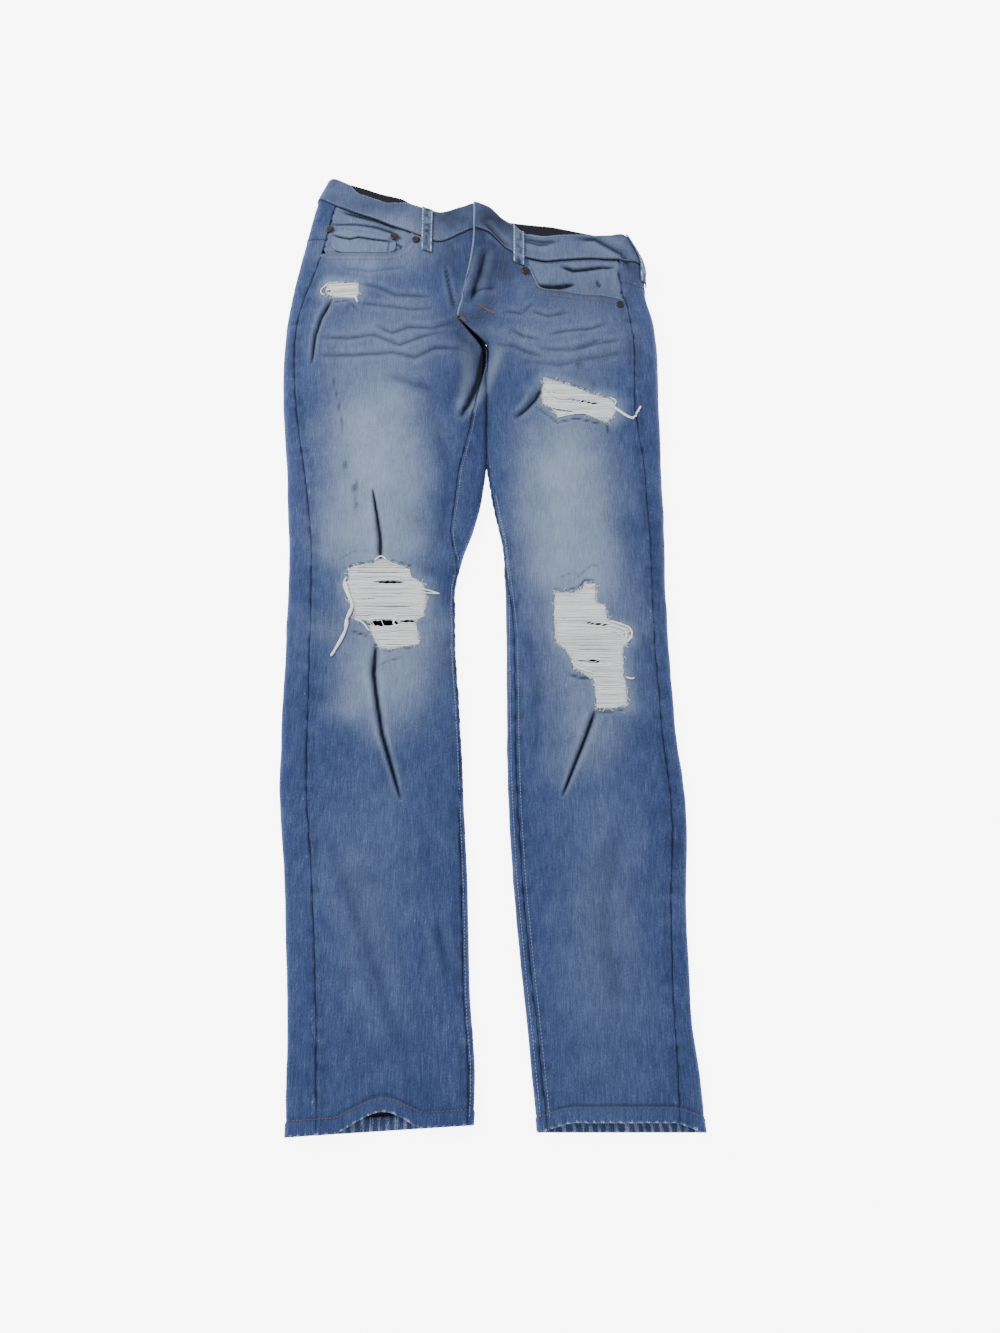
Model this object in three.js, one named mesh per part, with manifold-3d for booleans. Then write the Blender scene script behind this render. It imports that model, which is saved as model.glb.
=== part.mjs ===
// Ripped skinny jeans, laid flat on their back with the front up and the hems toward -Y.
// Millimetres, +Z up. The wearer's right leg is on the -X side. The waist slopes down toward +X.
import * as THREE from 'three';
import { mergeVertices } from 'three/addons/utils/BufferGeometryUtils.js';
import Module from 'manifold-3d';

const wasm = await Module();
wasm.setup();

// Driving sizes
const CROTCH_Y = 292;
const CLOTH = 1.6; // one layer of denim with its seam allowances
const SEAM = 0.3; // space between pieces that are sewn edge to edge
const LAY = 0.4; // space between layers that lie on each other
const BAND_PROUD = 1.2; // how far the doubled waistband stands out from the panels
const FLY_LAP = 12; // how far the left front laps over the right one
const SEAT_LIFT = 2.2; // seat held up by the back pockets under it
const WAIST_LIFT = 3.4; // waist held up by the belt loops under it
const POCKET_CLOTH = 1.8;
const LOOP_WIDTH = 13;
const LOOP_CLOTH = 1.8;
const YARN_CLOTH = 0.8; // the loose yarns across a rip, as one thin patch
const YARN_HOLD = 4; // how far the yarns run on under the cloth round the rip
const SEAT_STRIP = 14; // strip beside the centre back seam that is set out more finely
const CUT_HEIGHT = 60; // cutting blocks reach from inside the fold to well above the upper layer
const CUT_FLOOR = 4.5;
const RIVET_RADIUS = 4.6;
const RIVET_HEIGHT = 1.5;
const CROWN_POWER = 2.6; // higher is flatter across the top, steeper at the sides
const LEG_ROWS = 22;
const HIP_ROWS = 6;
const FRONT_COLUMNS = 11;

const COLOURS = { denim: 0x5d7096, seam: 0x6f82a6, thread: 0xd9dde6, rivet: 0x4a3d33 };

// A smooth curve through hand-set [position, value] pairs, in rising position.
function through(pairs) {
  const last = pairs.length - 1;
  const rate = (i) => (pairs[i + 1][1] - pairs[i][1]) / (pairs[i + 1][0] - pairs[i][0]);
  const slopeAt = (i) => {
    if (i === 0) return rate(0);
    if (i === last) return rate(last - 1);
    const [before, after] = [rate(i - 1), rate(i)];
    return before * after > 0 ? 2 * before * after / (before + after) : 0;
  };
  return (at) => {
    if (at <= pairs[0][0]) return pairs[0][1];
    if (at >= pairs[last][0]) return pairs[last][1];
    let k = 0;
    while (at > pairs[k + 1][0]) k += 1;
    const span = pairs[k + 1][0] - pairs[k][0];
    const t = (at - pairs[k][0]) / span;
    const bend = t * t * (3 - 2 * t);
    const startPull = t * (1 - t) * (1 - t) * span * slopeAt(k);
    const endPull = t * t * (t - 1) * span * slopeAt(k + 1);
    return THREE.MathUtils.lerp(pairs[k][1], pairs[k + 1][1], bend) + startPull + endPull;
  };
}
const lerp = THREE.MathUtils.lerp;
const ease = THREE.MathUtils.smoothstep;

// Outline, as x against y: outer folds run from hem to waistband top, inner ones from hem to crotch.
const rightOuter = through([[-545, -156], [-430, -163], [-320, -173], [-220, -184], [-70, -189],
  [20, -192], [120, -201], [220, -211], [290, -215], [393, -207], [454, -197], [505, -189],
  [545, -177]]);
const rightInner = through([[-545, 10], [-500, 11], [-430, 6], [-340, 3], [-262, -1], [-160, -7],
  [-72, -13], [-20, -14], [23, -6], [60, 6], [100, 14], [150, 17.4], [CROTCH_Y, 17.4]]);
const leftInner = through([[-545, 66], [-480, 60], [-376, 50], [-300, 44], [-200, 40], [-20, 38.5],
  [30, 36], [70, 29], [110, 22], [150, 18.6], [CROTCH_Y, 18.6]]);
const leftOuter = through([[-545, 215], [-500, 213], [-430, 208], [-340, 210], [-262, 215], [-150, 209],
  [-50, 207], [60, 210], [170, 211], [290, 214], [335, 210], [366, 204], [402, 203], [450, 187]]);

// Seams, as their distance in from the nearest fold.
const rightOutseam = through([[-545, 28], [-150, 27], [60, 25], [200, 16], [320, 13], [420, 24],
  [545, 22]]);
const leftOutseam = through([[-545, 24], [-410, 16], [-30, 15], [117, 19], [215, 29], [300, 28],
  [380, 30], [450, 26]]);
const rightInseam = through([[-545, 6], [-300, 6], [-190, 2], [0, 2], [60, 25], [120, 29], [180, 19],
  [CROTCH_Y, 1]]);
const leftInseam = through([[-545, 9], [-80, 9], [20, 2], [CROTCH_Y, 1]]);

// Height of the upper layer and radius of the side folds, against y.
const loftAt = through([[-545, 14], [-480, 15], [-260, 17], [-60, 20], [120, 25], [CROTCH_Y, 30],
  [480, 32]]);
const foldAt = through([[-545, 4.5], [-260, 5.5], [-60, 6], [120, 7], [CROTCH_Y, 8.5], [480, 9.5]]);
const restAt = (y) => SEAT_LIFT * ease(y, 130, 200) + (WAIST_LIFT - SEAT_LIFT) * ease(y, 360, 410);

// The front of the waist dips below the line between the two side folds, but stands up at the fly.
const frontDip = through([[-185, 0], [-155, 12], [-123, 20], [-93, 28], [-64, 35], [-42, 40],
  [-12, 19], [2, 9], [18, 12], [45, 31], [62, 36], [81, 35], [105, 26], [140, 13], [186, 0]]);
// Its top edge sags a little more, so the inside of the back shows over it at both sides.
const bandSag = through([[-170, 0], [-151, 1], [-136, 11], [-106, 11], [-90, 5], [-78, 0],
  [-40, -2], [0, 4], [30, 3], [46, 0], [62, 7], [110, 5], [154, 7], [178, 0]]);
const backRise = through([[-178, 0], [-155, 6.5], [-133, 5], [-114, 2], [-90, 1], [-70, -6],
  [-27, -8], [33, -3], [62, 0], [106, 5], [150, 5], [178, 0]]);
// Front hem pulled back in an arch on the right leg, and a little short of the back hem on the left one.
const rightHemArch = through([[-112, 0], [-71, 16], [-36, 0]]);
const leftHemArch = through([[68, 0], [100, 8], [185, 8], [212, 0]]);
// Deep fold beside the inseam, from the crotch down into the right thigh.
const foldLine = through([[200, -12], [250, 2], [285, 8]]);
const foldDepth = through([[195, 0], [235, 9], [280, 13], [300, 9], [330, 0]]);
const FOLD_WIDTH = 13;

// Converts a distance in from a fold to a distance round the ring from the outermost point.
function roundFrom(inset, fold) {
  if (inset < fold) return fold * Math.acos(1 - inset / fold);
  return fold * Math.PI / 2 + inset - fold;
}

// One flattened ring: q runs round it from the outermost point of the -X fold, positive over the top.
function ringPoint(ring, q) {
  const { a, b, fold, loft, rest } = ring;
  const width = b.x - a.x;
  const half = Math.PI * fold + width - 2 * fold;
  let turn = q;
  if (turn > half) turn -= 2 * half;
  if (turn < -half) turn += 2 * half;
  const t = Math.abs(turn);
  const top = turn > 0;
  const quarter = fold * Math.PI / 2;
  let inset = t - quarter + fold;
  let rise = fold;
  if (t < quarter) {
    inset = fold * (1 - Math.cos(t / fold));
    rise = fold * Math.sin(t / fold);
  } else if (t > half - quarter) {
    inset = width - fold * (1 - Math.cos((half - t) / fold));
    rise = fold * Math.sin((half - t) / fold);
  }
  const across = inset / width;
  const point = new THREE.Vector3().lerpVectors(a, b, across);
  const crown = 1 - Math.abs(2 * across - 1) ** CROWN_POWER;
  point.z = rest + fold + (top ? rise + (loft - 2 * fold) * crown : -rise);
  if (top) ring.shapeTop(point);
  else ring.shapeUnder(point, Math.sin(Math.PI * across));
  return point;
}

const noShape = () => {};

function legRing(side, f) {
  const right = side === 'right';
  const hem = right ? [-545, -535] : [-541, -541];
  const yA = lerp(hem[0], CROTCH_Y, f);
  const yB = lerp(hem[1], CROTCH_Y, f);
  const y = (yA + yB) / 2;
  const a = new THREE.Vector3(right ? rightOuter(yA) : leftInner(yA), yA, 0);
  const b = new THREE.Vector3(right ? rightInner(yB) : leftOuter(yB), yB, 0);
  const arch = right ? rightHemArch : leftHemArch;
  const shapeTop = (point) => {
    point.y += arch(point.x) * (1 - ease(y, -545, -470));
    if (right) pressFold(point);
  };
  return { a, b, y, fold: foldAt(y), loft: loftAt(y), rest: restAt(y), shapeTop, shapeUnder: noShape };
}

function pressFold(point) {
  const away = (point.x - foldLine(point.y)) / FOLD_WIDTH;
  point.z -= foldDepth(point.y) * Math.exp(-away * away);
}

// v runs from the crotch (0) to the waistband seam (1) and on to the top of the waistband (2).
function hipRing(v) {
  const yA = v < 1 ? lerp(CROTCH_Y, 505, v) : lerp(505, 545, v - 1);
  const yB = v < 1 ? lerp(CROTCH_Y, 402, v) : lerp(402, 450, v - 1);
  const y = (yA + yB) / 2;
  const a = new THREE.Vector3(rightOuter(yA), yA, 0);
  const b = new THREE.Vector3(leftOuter(yB), yB, 0);
  const slack = Math.min(v, 1) ** 2;
  const onBandShare = Math.max(v - 1, 0);
  const corner = (x) => onBandShare
    * (5 * Math.exp(-(((x - a.x) / 7) ** 2)) + 4 * Math.exp(-(((x - b.x) / 8) ** 2)));
  const shapeTop = (point) => {
    point.y -= frontDip(point.x) * slack + bandSag(point.x) * onBandShare + corner(point.x);
    const beside = (point.x - 17) / 30;
    point.z -= 12 * Math.exp(-beside * beside) * (1 - ease(v, 0, 0.45));
    pressFold(point);
  };
  const shapeUnder = (point, middle) => {
    point.y += lerp(8 * slack * middle, backRise(point.x), ease(v, 0.76, 1)) - corner(point.x);
  };
  return { a, b, y, v, fold: foldAt(y), loft: loftAt(y), rest: restAt(y), shapeTop, shapeUnder };
}

const halfRound = (ring) => Math.PI * ring.fold + ring.b.x - ring.a.x - 2 * ring.fold;
const overTop = (ring, x) => ring.fold * (Math.PI / 2 - 1) + x - ring.a.x;
const centreFront = through([[0, 17], [0.08, 5], [0.2, -16], [0.34, -11], [1, 2], [2, 2]]);
const centreBack = (v) => lerp(18, 0, Math.min(v, 1));
const lapAt = (v) => ease(v, 0.2, 0.45);
const liftAt = (v) => ease(v, 0.02, 0.16);

// The four seams that meet at the crotch stop a little short of each other, inside the fold.
const crotchRoom = (y) => 2.4 * ease(y, CROTCH_Y - 45, CROTCH_Y);

// Where the seams cross a ring, as distances round it.
const legSeams = (side, ring) => {
  const right = side === 'right';
  const half = halfRound(ring);
  const outseam = roundFrom(right ? rightOutseam(ring.y) : leftOutseam(ring.y), ring.fold);
  const inseam = roundFrom(right ? rightInseam(ring.y) : leftInseam(ring.y), ring.fold);
  const room = crotchRoom(ring.y);
  return right ? { start: outseam, end: half - inseam, endRoom: room, startRoom: 0 }
    : { start: inseam, end: half - outseam, endRoom: 0, startRoom: room };
};
const hipSeams = (ring) => ({
  right: roundFrom(rightOutseam(ring.a.y), ring.fold),
  left: halfRound(ring) - roundFrom(leftOutseam(ring.b.y), ring.fold),
  front: overTop(ring, centreFront(ring.v)),
  back: -overTop(ring, centreBack(ring.v)),
});

const spread = (from, to, parts) => Array.from({ length: parts + 1 }, (_, i) => lerp(from, to, i / parts));

function columnsThrough(stops, parts) {
  const columns = [stops[0]];
  parts.forEach((count, i) => columns.push(...spread(stops[i], stops[i + 1], count).slice(1)));
  return columns;
}

function frontColumns(side, f, v) {
  if (v === undefined) {
    const seams = legSeams(side, legRing(side, f));
    const first = seams.start + SEAM / 2 + seams.startRoom;
    const final = seams.end - SEAM / 2 - seams.endRoom;
    return spread(first, final, FRONT_COLUMNS);
  }
  const seams = hipSeams(hipRing(v));
  if (side === 'left') return spread(seams.front + SEAM / 2, seams.left - SEAM / 2, FRONT_COLUMNS);
  return spread(seams.right + SEAM / 2, seams.front - SEAM / 2 + FLY_LAP * lapAt(v), FRONT_COLUMNS);
}

function backColumns(side, f, v) {
  const ring = v === undefined ? legRing(side, f) : hipRing(v);
  const half = halfRound(ring);
  const quarter = ring.fold * Math.PI / 2;
  const nearA = -quarter;
  const nearB = quarter - half;
  if (v === undefined) {
    const seams = legSeams(side, ring);
    const first = seams.end - 2 * half + SEAM / 2 + seams.endRoom;
    const final = seams.start - SEAM / 2 - seams.startRoom;
    return columnsThrough([first, nearB, nearA, final], side === 'right' ? [4, 3, 5] : [5, 3, 4]);
  }
  const seams = hipSeams(ring);
  if (side === 'right') {
    const stops = [seams.back + SEAM / 2, seams.back + SEAT_STRIP, nearA, seams.right - SEAM / 2];
    return columnsThrough(stops, [4, 3, 5]);
  }
  const first = seams.left - 2 * half + SEAM / 2;
  return columnsThrough([first, nearB, seams.back - SEAT_STRIP, seams.back - SEAM / 2], [5, 3, 4]);
}

// The left front and the end of the waistband on it are lifted where they lap over the right side.
function lapLift(ring, q, height) {
  const past = q - overTop(ring, centreFront(ring.v));
  if (past < 0) return 0;
  return height * liftAt(ring.v) * (1 - ease(past, FLY_LAP + 6, FLY_LAP + 24));
}

function surfaceNormal(ringAt, at, q) {
  const step = 0.004;
  const ring = ringAt(at);
  const alongRing = ringPoint(ring, q + 0.5).sub(ringPoint(ring, q - 0.5));
  const ahead = ringAt(at + step);
  const behind = ringAt(at - step);
  const scale = (other) => q * halfRound(other) / halfRound(ring);
  const alongLeg = ringPoint(ahead, scale(ahead)).sub(ringPoint(behind, scale(behind)));
  return alongRing.cross(alongLeg).normalize();
}

// A point moved out of the ring's surface by `out`.
function movedOut(ringAt, at, q, out) {
  return ringPoint(ringAt(at), q).addScaledVector(surfaceNormal(ringAt, at, q), out);
}

// A closed wall from two grids of points, rows of columns, outer one first.
function wallGeometry(outer, inner) {
  const rows = outer.length;
  const columns = outer[0].length;
  const vertices = [];
  for (const p of [outer, inner].flat(2)) vertices.push(p.x, p.y, p.z);
  const at = (layer, i, j) => (layer * rows + i) * columns + j;
  const faces = [];
  const quad = (a, b, c, d) => faces.push(a, b, c, a, c, d);
  for (let i = 0; i < rows - 1; i += 1) {
    for (let j = 0; j < columns - 1; j += 1) {
      quad(at(0, i, j), at(0, i, j + 1), at(0, i + 1, j + 1), at(0, i + 1, j));
      quad(at(1, i, j), at(1, i + 1, j), at(1, i + 1, j + 1), at(1, i, j + 1));
    }
    const last = columns - 1;
    quad(at(0, i, 0), at(0, i + 1, 0), at(1, i + 1, 0), at(1, i, 0));
    quad(at(0, i, last), at(1, i, last), at(1, i + 1, last), at(0, i + 1, last));
  }
  for (let j = 0; j < columns - 1; j += 1) {
    const last = rows - 1;
    quad(at(0, 0, j), at(1, 0, j), at(1, 0, j + 1), at(0, 0, j + 1));
    quad(at(0, last, j), at(0, last, j + 1), at(1, last, j + 1), at(1, last, j));
  }
  const geometry = new THREE.BufferGeometry();
  geometry.setAttribute('position', new THREE.Float32BufferAttribute(vertices, 3));
  geometry.setIndex(faces);
  return geometry;
}

function toSolid(geometry) {
  const bare = geometry.clone();
  bare.deleteAttribute('normal');
  bare.deleteAttribute('uv');
  const merged = mergeVertices(bare, 1e-4);
  return new wasm.Manifold(new wasm.Mesh({
    numProp: 3,
    vertProperties: new Float32Array(merged.attributes.position.array),
    triVerts: new Uint32Array(merged.index.array),
  }));
}

function toGeometry(solid) {
  const mesh = solid.getMesh();
  const geometry = new THREE.BufferGeometry();
  geometry.setAttribute('position', new THREE.Float32BufferAttribute(mesh.vertProperties, 3));
  geometry.setIndex(Array.from(mesh.triVerts));
  return geometry;
}

// An upright block with the given [x, y] outline, tall enough to pass through the upper layer.
function upright(outline) {
  const shape = new THREE.Shape(outline.map(([x, y]) => new THREE.Vector2(x, y)));
  const block = new THREE.ExtrudeGeometry(shape, { depth: CUT_HEIGHT, bevelEnabled: false });
  block.translate(0, 0, CUT_FLOOR);
  return toSolid(block);
}

const garment = new THREE.Group();

function addPiece(name, geometry, colour, metalness = 0) {
  const material = new THREE.MeshStandardMaterial({
    color: colour, metalness, roughness: metalness > 0 ? 0.45 : 0.9,
  });
  const mesh = new THREE.Mesh(geometry, material);
  mesh.name = name;
  garment.add(mesh);
}

const legAt = (side) => (f) => legRing(side, f);
const legRows = spread(0, 1, LEG_ROWS);
const hipRows = spread(0, 1, HIP_ROWS).slice(1);
const seamV = 0.003; // seam space beside a cross seam, as a share of the hips' length
const bandV = 0.03; // and under the waistband, as a share of its height

// Front panels: rows from the hem to the crotch, then to the waistband seam.
function frontPanel(side) {
  const outer = [];
  const inner = [];
  for (const f of legRows) {
    const columns = frontColumns(side, f);
    outer.push(columns.map((q) => ringPoint(legRing(side, f), q)));
    inner.push(columns.map((q) => movedOut(legAt(side), f, q, -CLOTH)));
  }
  for (const row of hipRows) {
    const v = Math.min(row, 1 - seamV);
    const columns = frontColumns(side, 1, v);
    const lift = (q) => (side === 'left' ? lapLift(hipRing(v), q, CLOTH + 2 * LAY) : 0);
    outer.push(columns.map((q) => movedOut(hipRing, v, q, lift(q))));
    inner.push(columns.map((q) => movedOut(hipRing, v, q, lift(q) - CLOTH)));
  }
  return wallGeometry(outer, inner);
}

// Back panels wrap round the side folds and lie under the fronts; above the yoke seam the yokes go on.
const yokeSeam = (side, j, count) => {
  const fromBack = side === 'right' ? j / count : 1 - j / count;
  return lerp(0.52, 0.72, fromBack);
};

function backPanel(side) {
  const outer = [];
  const inner = [];
  for (const f of legRows) {
    const columns = backColumns(side, f);
    outer.push(columns.map((q) => ringPoint(legRing(side, f), q)));
    inner.push(columns.map((q) => movedOut(legAt(side), f, q, -CLOTH)));
  }
  for (const share of spread(0, 1, 4).slice(1)) {
    const place = (out) => (_, j, all) => {
      const v = share * yokeSeam(side, j, all.length - 1);
      return movedOut(hipRing, v, backColumns(side, 1, v)[j], out);
    };
    const columns = backColumns(side, 1);
    outer.push(columns.map(place(0)));
    inner.push(columns.map(place(-CLOTH)));
  }
  return wallGeometry(outer, inner);
}

function yoke(side) {
  const count = backColumns(side, 1).length - 1;
  const grid = (out) => spread(0, 1, 2).map((share) => backColumns(side, 1).map((_, j) => {
    const v = lerp(yokeSeam(side, j, count) + seamV, 1 - seamV, share);
    return movedOut(hipRing, v, backColumns(side, 1, v)[j], out);
  }));
  return wallGeometry(grid(0), grid(-CLOTH));
}

// The waistband is one strip, from the lapped end on the left front right round to the end under it.
function waistband() {
  const grid = (out) => spread(1 + bandV, 2, 2).map((v) => {
    const ring = hipRing(v);
    const seams = hipSeams(ring);
    const half = halfRound(ring);
    const quarter = ring.fold * Math.PI / 2;
    const stops = [seams.front, seams.left, 2 * half + quarter - half, 2 * half + seams.back,
      2 * half - quarter, 2 * half + seams.right, 2 * half + seams.front + FLY_LAP];
    return columnsThrough(stops, [FRONT_COLUMNS, 5, 4, 4, 5, FRONT_COLUMNS]).map((q) => {
      const onRing = q > half ? q - 2 * half : q;
      const lift = q < half ? lapLift(ring, q, CLOTH + BAND_PROUD + 2 * LAY) : 0;
      return movedOut(hipRing, v, onRing, out + lift);
    });
  });
  return wallGeometry(grid(BAND_PROUD), grid(-CLOTH));
}

// A strip along the leg direction on the hips, moved out by `outAt(v)`.
function hipStrip(centreAt, vFrom, vTo, outAt, cloth) {
  const grid = (extra) => spread(vFrom, vTo, 5).map((v) => {
    const middle = centreAt(hipRing(v));
    return spread(middle - LOOP_WIDTH / 2, middle + LOOP_WIDTH / 2, 2)
      .map((q) => movedOut(hipRing, v, q, outAt(v) + extra));
  });
  return wallGeometry(grid(cloth), grid(0));
}

const onBand = (v) => BAND_PROUD * ease(v, 0.9, 1) + LAY;
const loops = {
  belt_loop_front_right: [(ring) => overTop(ring, -53), 0.84, 1.98],
  belt_loop_front_left: [(ring) => overTop(ring, 55), 0.86, 1.98],
  belt_loop_side_left: [(ring) => halfRound(ring) - 5, 0.8, 1.98],
  belt_loop_back_right: [(ring) => -overTop(ring, -105), 0.88, 1.98],
  belt_loop_centre_back: [(ring) => -overTop(ring, 0), 0.88, 1.98],
};

// Finds the ring position over a plan point, for pieces that lie on or under the upper layer.
function topSpot(x, y) {
  const onLeg = y < CROTCH_Y;
  const ringAt = onLeg ? legAt(x < 18 ? 'right' : 'left') : hipRing;
  let at = onLeg ? (y + 541) / (CROTCH_Y + 541) : 0.5;
  for (let i = 0; i < 8; i += 1) {
    const here = ringPoint(ringAt(at), overTop(ringAt(at), x)).y;
    const ahead = ringPoint(ringAt(at + 0.01), overTop(ringAt(at + 0.01), x)).y;
    at += 0.01 * (y - here) / (ahead - here);
  }
  return { ringAt, at };
}

function overPoint(x, y, out) {
  const { ringAt, at } = topSpot(x, y);
  return movedOut(ringAt, at, overTop(ringAt(at), x), out);
}

// A piece of cloth with the given [x, y] outline that follows the upper layer, moved out or in.
function follow(outline, out, cloth) {
  const xs = outline.map(([x]) => x);
  const ys = outline.map(([, y]) => y);
  const across = spread(Math.min(...xs) - 1, Math.max(...xs) + 1, 6);
  const along = spread(Math.min(...ys) - 1, Math.max(...ys) + 1, 5);
  const grid = (extra) => along.map((y) => across.map((x) => overPoint(x, y, out + extra)));
  return toGeometry(toSolid(wallGeometry(grid(cloth), grid(0))).intersect(upright(outline)));
}

const rips = {
  hip_right: [[-175, 364], [-171, 375], [-133, 374], [-132, 349], [-170, 348]],
  thigh_left: [[79, 206], [82, 240], [164, 211], [155, 180], [98, 187]],
  knee_right: [[-130, 13], [-62, 13], [-60, -8], [-44, -11], [-43, -52], [-50, -58], [-50, -86], [-99, -86],
    [-101, -57], [-127, -52]],
  knee_left: [[89, -20], [120, -12], [132, -12], [131, -31], [142, -39], [142, -52], [166, -63], [159, -82],
    [162, -138], [155, -148], [130, -150], [128, -112], [108, -108], [105, -94], [89, -78]],
};

// The same outline grown outwards, for the yarns that are still held by the cloth round a rip.
function grown(outline, by) {
  const count = outline.length;
  const middle = outline.reduce((sum, [x, y]) => [sum[0] + x / count, sum[1] + y / count], [0, 0]);
  return outline.map(([x, y]) => {
    const reach = Math.hypot(x - middle[0], y - middle[1]);
    const scale = (reach + by) / reach;
    return [middle[0] + (x - middle[0]) * scale, middle[1] + (y - middle[1]) * scale];
  });
}

const rightMouth = [[-230, 420], [-171, 419], [-131, 414], [-92, 413], [-80, 419], [-73, 433], [-68, 450],
  [-68, 560], [-230, 560]];
const leftMouth = [[62, 420], [66, 392], [74, 372], [78, 358], [107, 359], [126, 354], [150, 356],
  [178, 351], [230, 351], [230, 480], [62, 480]];
const rightFacing = [[-180, 412], [-131, 407], [-90, 406], [-74, 412], [-64, 430], [-62, 446], [-85, 455],
  [-105, 466], [-125, 477], [-145, 486], [-160, 492], [-180, 495]];
const leftFacing = [[58, 412], [60, 386], [68, 368], [72, 350], [107, 351], [126, 346], [150, 348],
  [182, 343], [180, 402], [165, 410], [150, 413], [120, 414], [90, 413]];
const coinPocket = [[-168, 421], [-131, 416], [-94, 415], [-89, 420], [-90, 436], [-130, 447], [-168, 457]];
const seatPocket = [[-72, 70], [72, 70], [68, -62], [0, -84], [-68, -62]];

function cutPanel(side, mouth, names) {
  let solid = toSolid(frontPanel(side)).subtract(upright(mouth));
  for (const name of names) solid = solid.subtract(upright(rips[name]));
  return toGeometry(solid);
}

function seatPocketAt(x, y, turn) {
  const shape = new THREE.Shape(seatPocket.map(([px, py]) => new THREE.Vector2(px, py)));
  const geometry = new THREE.ExtrudeGeometry(shape, { depth: POCKET_CLOTH, bevelEnabled: false });
  geometry.rotateZ(THREE.MathUtils.degToRad(turn));
  geometry.translate(x, y, 0);
  return geometry;
}

function rivet(x, y, out) {
  const profile = [[0, 0], [RIVET_RADIUS, 0], [RIVET_RADIUS, RIVET_HEIGHT * 0.5],
    [RIVET_RADIUS * 0.7, RIVET_HEIGHT], [0, RIVET_HEIGHT * 0.8]];
  const geometry = new THREE.LatheGeometry(profile.map(([r, z]) => new THREE.Vector2(r, z)), 14);
  const up = new THREE.Vector3(0, 1, 0);
  const { ringAt, at } = topSpot(x, y);
  const normal = surfaceNormal(ringAt, at, overTop(ringAt(at), x));
  geometry.applyQuaternion(new THREE.Quaternion().setFromUnitVectors(up, normal));
  const place = overPoint(x, y, out);
  geometry.translate(place.x, place.y, place.z);
  return toGeometry(toSolid(geometry));
}

addPiece('front_panel_right', cutPanel('right', rightMouth, ['hip_right', 'knee_right']), COLOURS.denim);
addPiece('front_panel_left', cutPanel('left', leftMouth, ['thigh_left', 'knee_left']), COLOURS.denim);
for (const side of ['right', 'left']) {
  addPiece(`back_panel_${side}`, backPanel(side), COLOURS.denim);
  addPiece(`yoke_${side}`, yoke(side), COLOURS.denim);
}
addPiece('waistband', waistband(), COLOURS.seam);
for (const [name, [centreAt, from, to]] of Object.entries(loops)) {
  addPiece(name, hipStrip(centreAt, from, to, onBand, LOOP_CLOTH), COLOURS.seam);
}
addPiece('pocket_facing_right', follow(rightFacing, -2 * CLOTH - LAY, CLOTH), COLOURS.denim);
addPiece('pocket_facing_left', follow(leftFacing, -2 * CLOTH - LAY, CLOTH), COLOURS.denim);
addPiece('coin_pocket', follow(coinPocket, -CLOTH, CLOTH * 0.8), COLOURS.denim);
addPiece('back_pocket_right', seatPocketAt(-112, 322, -6), COLOURS.denim);
addPiece('back_pocket_left', seatPocketAt(122, 292, -10), COLOURS.denim);
for (const [name, outline] of Object.entries(rips)) {
  const patch = follow(grown(outline, YARN_HOLD), -CLOTH - LAY - YARN_CLOTH, YARN_CLOTH);
  addPiece(`rip_yarns_${name}`, patch, COLOURS.thread);
}
addPiece('rivet_coin_outer', rivet(-170, 455, 0.3), COLOURS.rivet, 0.8);
addPiece('rivet_coin_inner', rivet(-92, 437, 0.3), COLOURS.rivet, 0.8);
addPiece('rivet_pocket_right', rivet(-66, 431, 0.4), COLOURS.rivet, 0.8);
addPiece('rivet_pocket_left', rivet(62, 384, 2.6), COLOURS.rivet, 0.8);
addPiece('rivet_side_left', rivet(172, 344, 0.4), COLOURS.rivet, 0.8);

export default garment;
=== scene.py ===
import math

import bpy
import numpy as np
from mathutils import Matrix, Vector
from mathutils.bvhtree import BVHTree


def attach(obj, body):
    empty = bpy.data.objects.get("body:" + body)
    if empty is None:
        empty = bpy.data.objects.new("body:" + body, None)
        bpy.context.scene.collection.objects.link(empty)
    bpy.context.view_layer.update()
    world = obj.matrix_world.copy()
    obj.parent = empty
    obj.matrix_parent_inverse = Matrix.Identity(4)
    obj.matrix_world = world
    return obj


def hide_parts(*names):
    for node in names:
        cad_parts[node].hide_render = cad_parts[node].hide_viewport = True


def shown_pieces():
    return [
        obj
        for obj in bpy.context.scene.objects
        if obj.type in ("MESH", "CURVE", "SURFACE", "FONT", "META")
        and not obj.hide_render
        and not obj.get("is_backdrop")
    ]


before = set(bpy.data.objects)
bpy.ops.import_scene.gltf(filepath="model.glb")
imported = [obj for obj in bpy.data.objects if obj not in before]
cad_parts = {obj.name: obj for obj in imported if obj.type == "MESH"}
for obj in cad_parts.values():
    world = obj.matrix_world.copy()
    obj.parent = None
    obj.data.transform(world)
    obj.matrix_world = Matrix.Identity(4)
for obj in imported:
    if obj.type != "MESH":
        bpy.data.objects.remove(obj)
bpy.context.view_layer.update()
bpy.ops.object.select_all(action="DESELECT")
rng = np.random.default_rng(11)
print("frame loaded")

# The garment lies on its back with the front up. Lengths are in millimetres until a mesh is made.
# Right and left are the wearer's: the right leg is on the -X side.

look = {"lens": 30.7, "stand": (0.033, -0.536, 1.088), "aim": (0.033, -0.097, 0.0)}

cloth = {
    "denim": 1.0,  # one layer
    "step": 2.4,  # spacing of the panel mesh
    "edge": (0, 0.7, 1.4, 2.2, 3.2, 4.4, 5.8, 7.6),  # closer spacing beside a seam
    "seam": 0.3,
    "crotch": 292,
    "flyLap": 12,
    "lay": 0.4,
    "bandProud": 1.2,
}


def ease(x, a, b):
    t = np.clip((np.asarray(x, float) - a) / (b - a), 0, 1)
    return t * t * (3 - 2 * t)


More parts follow.
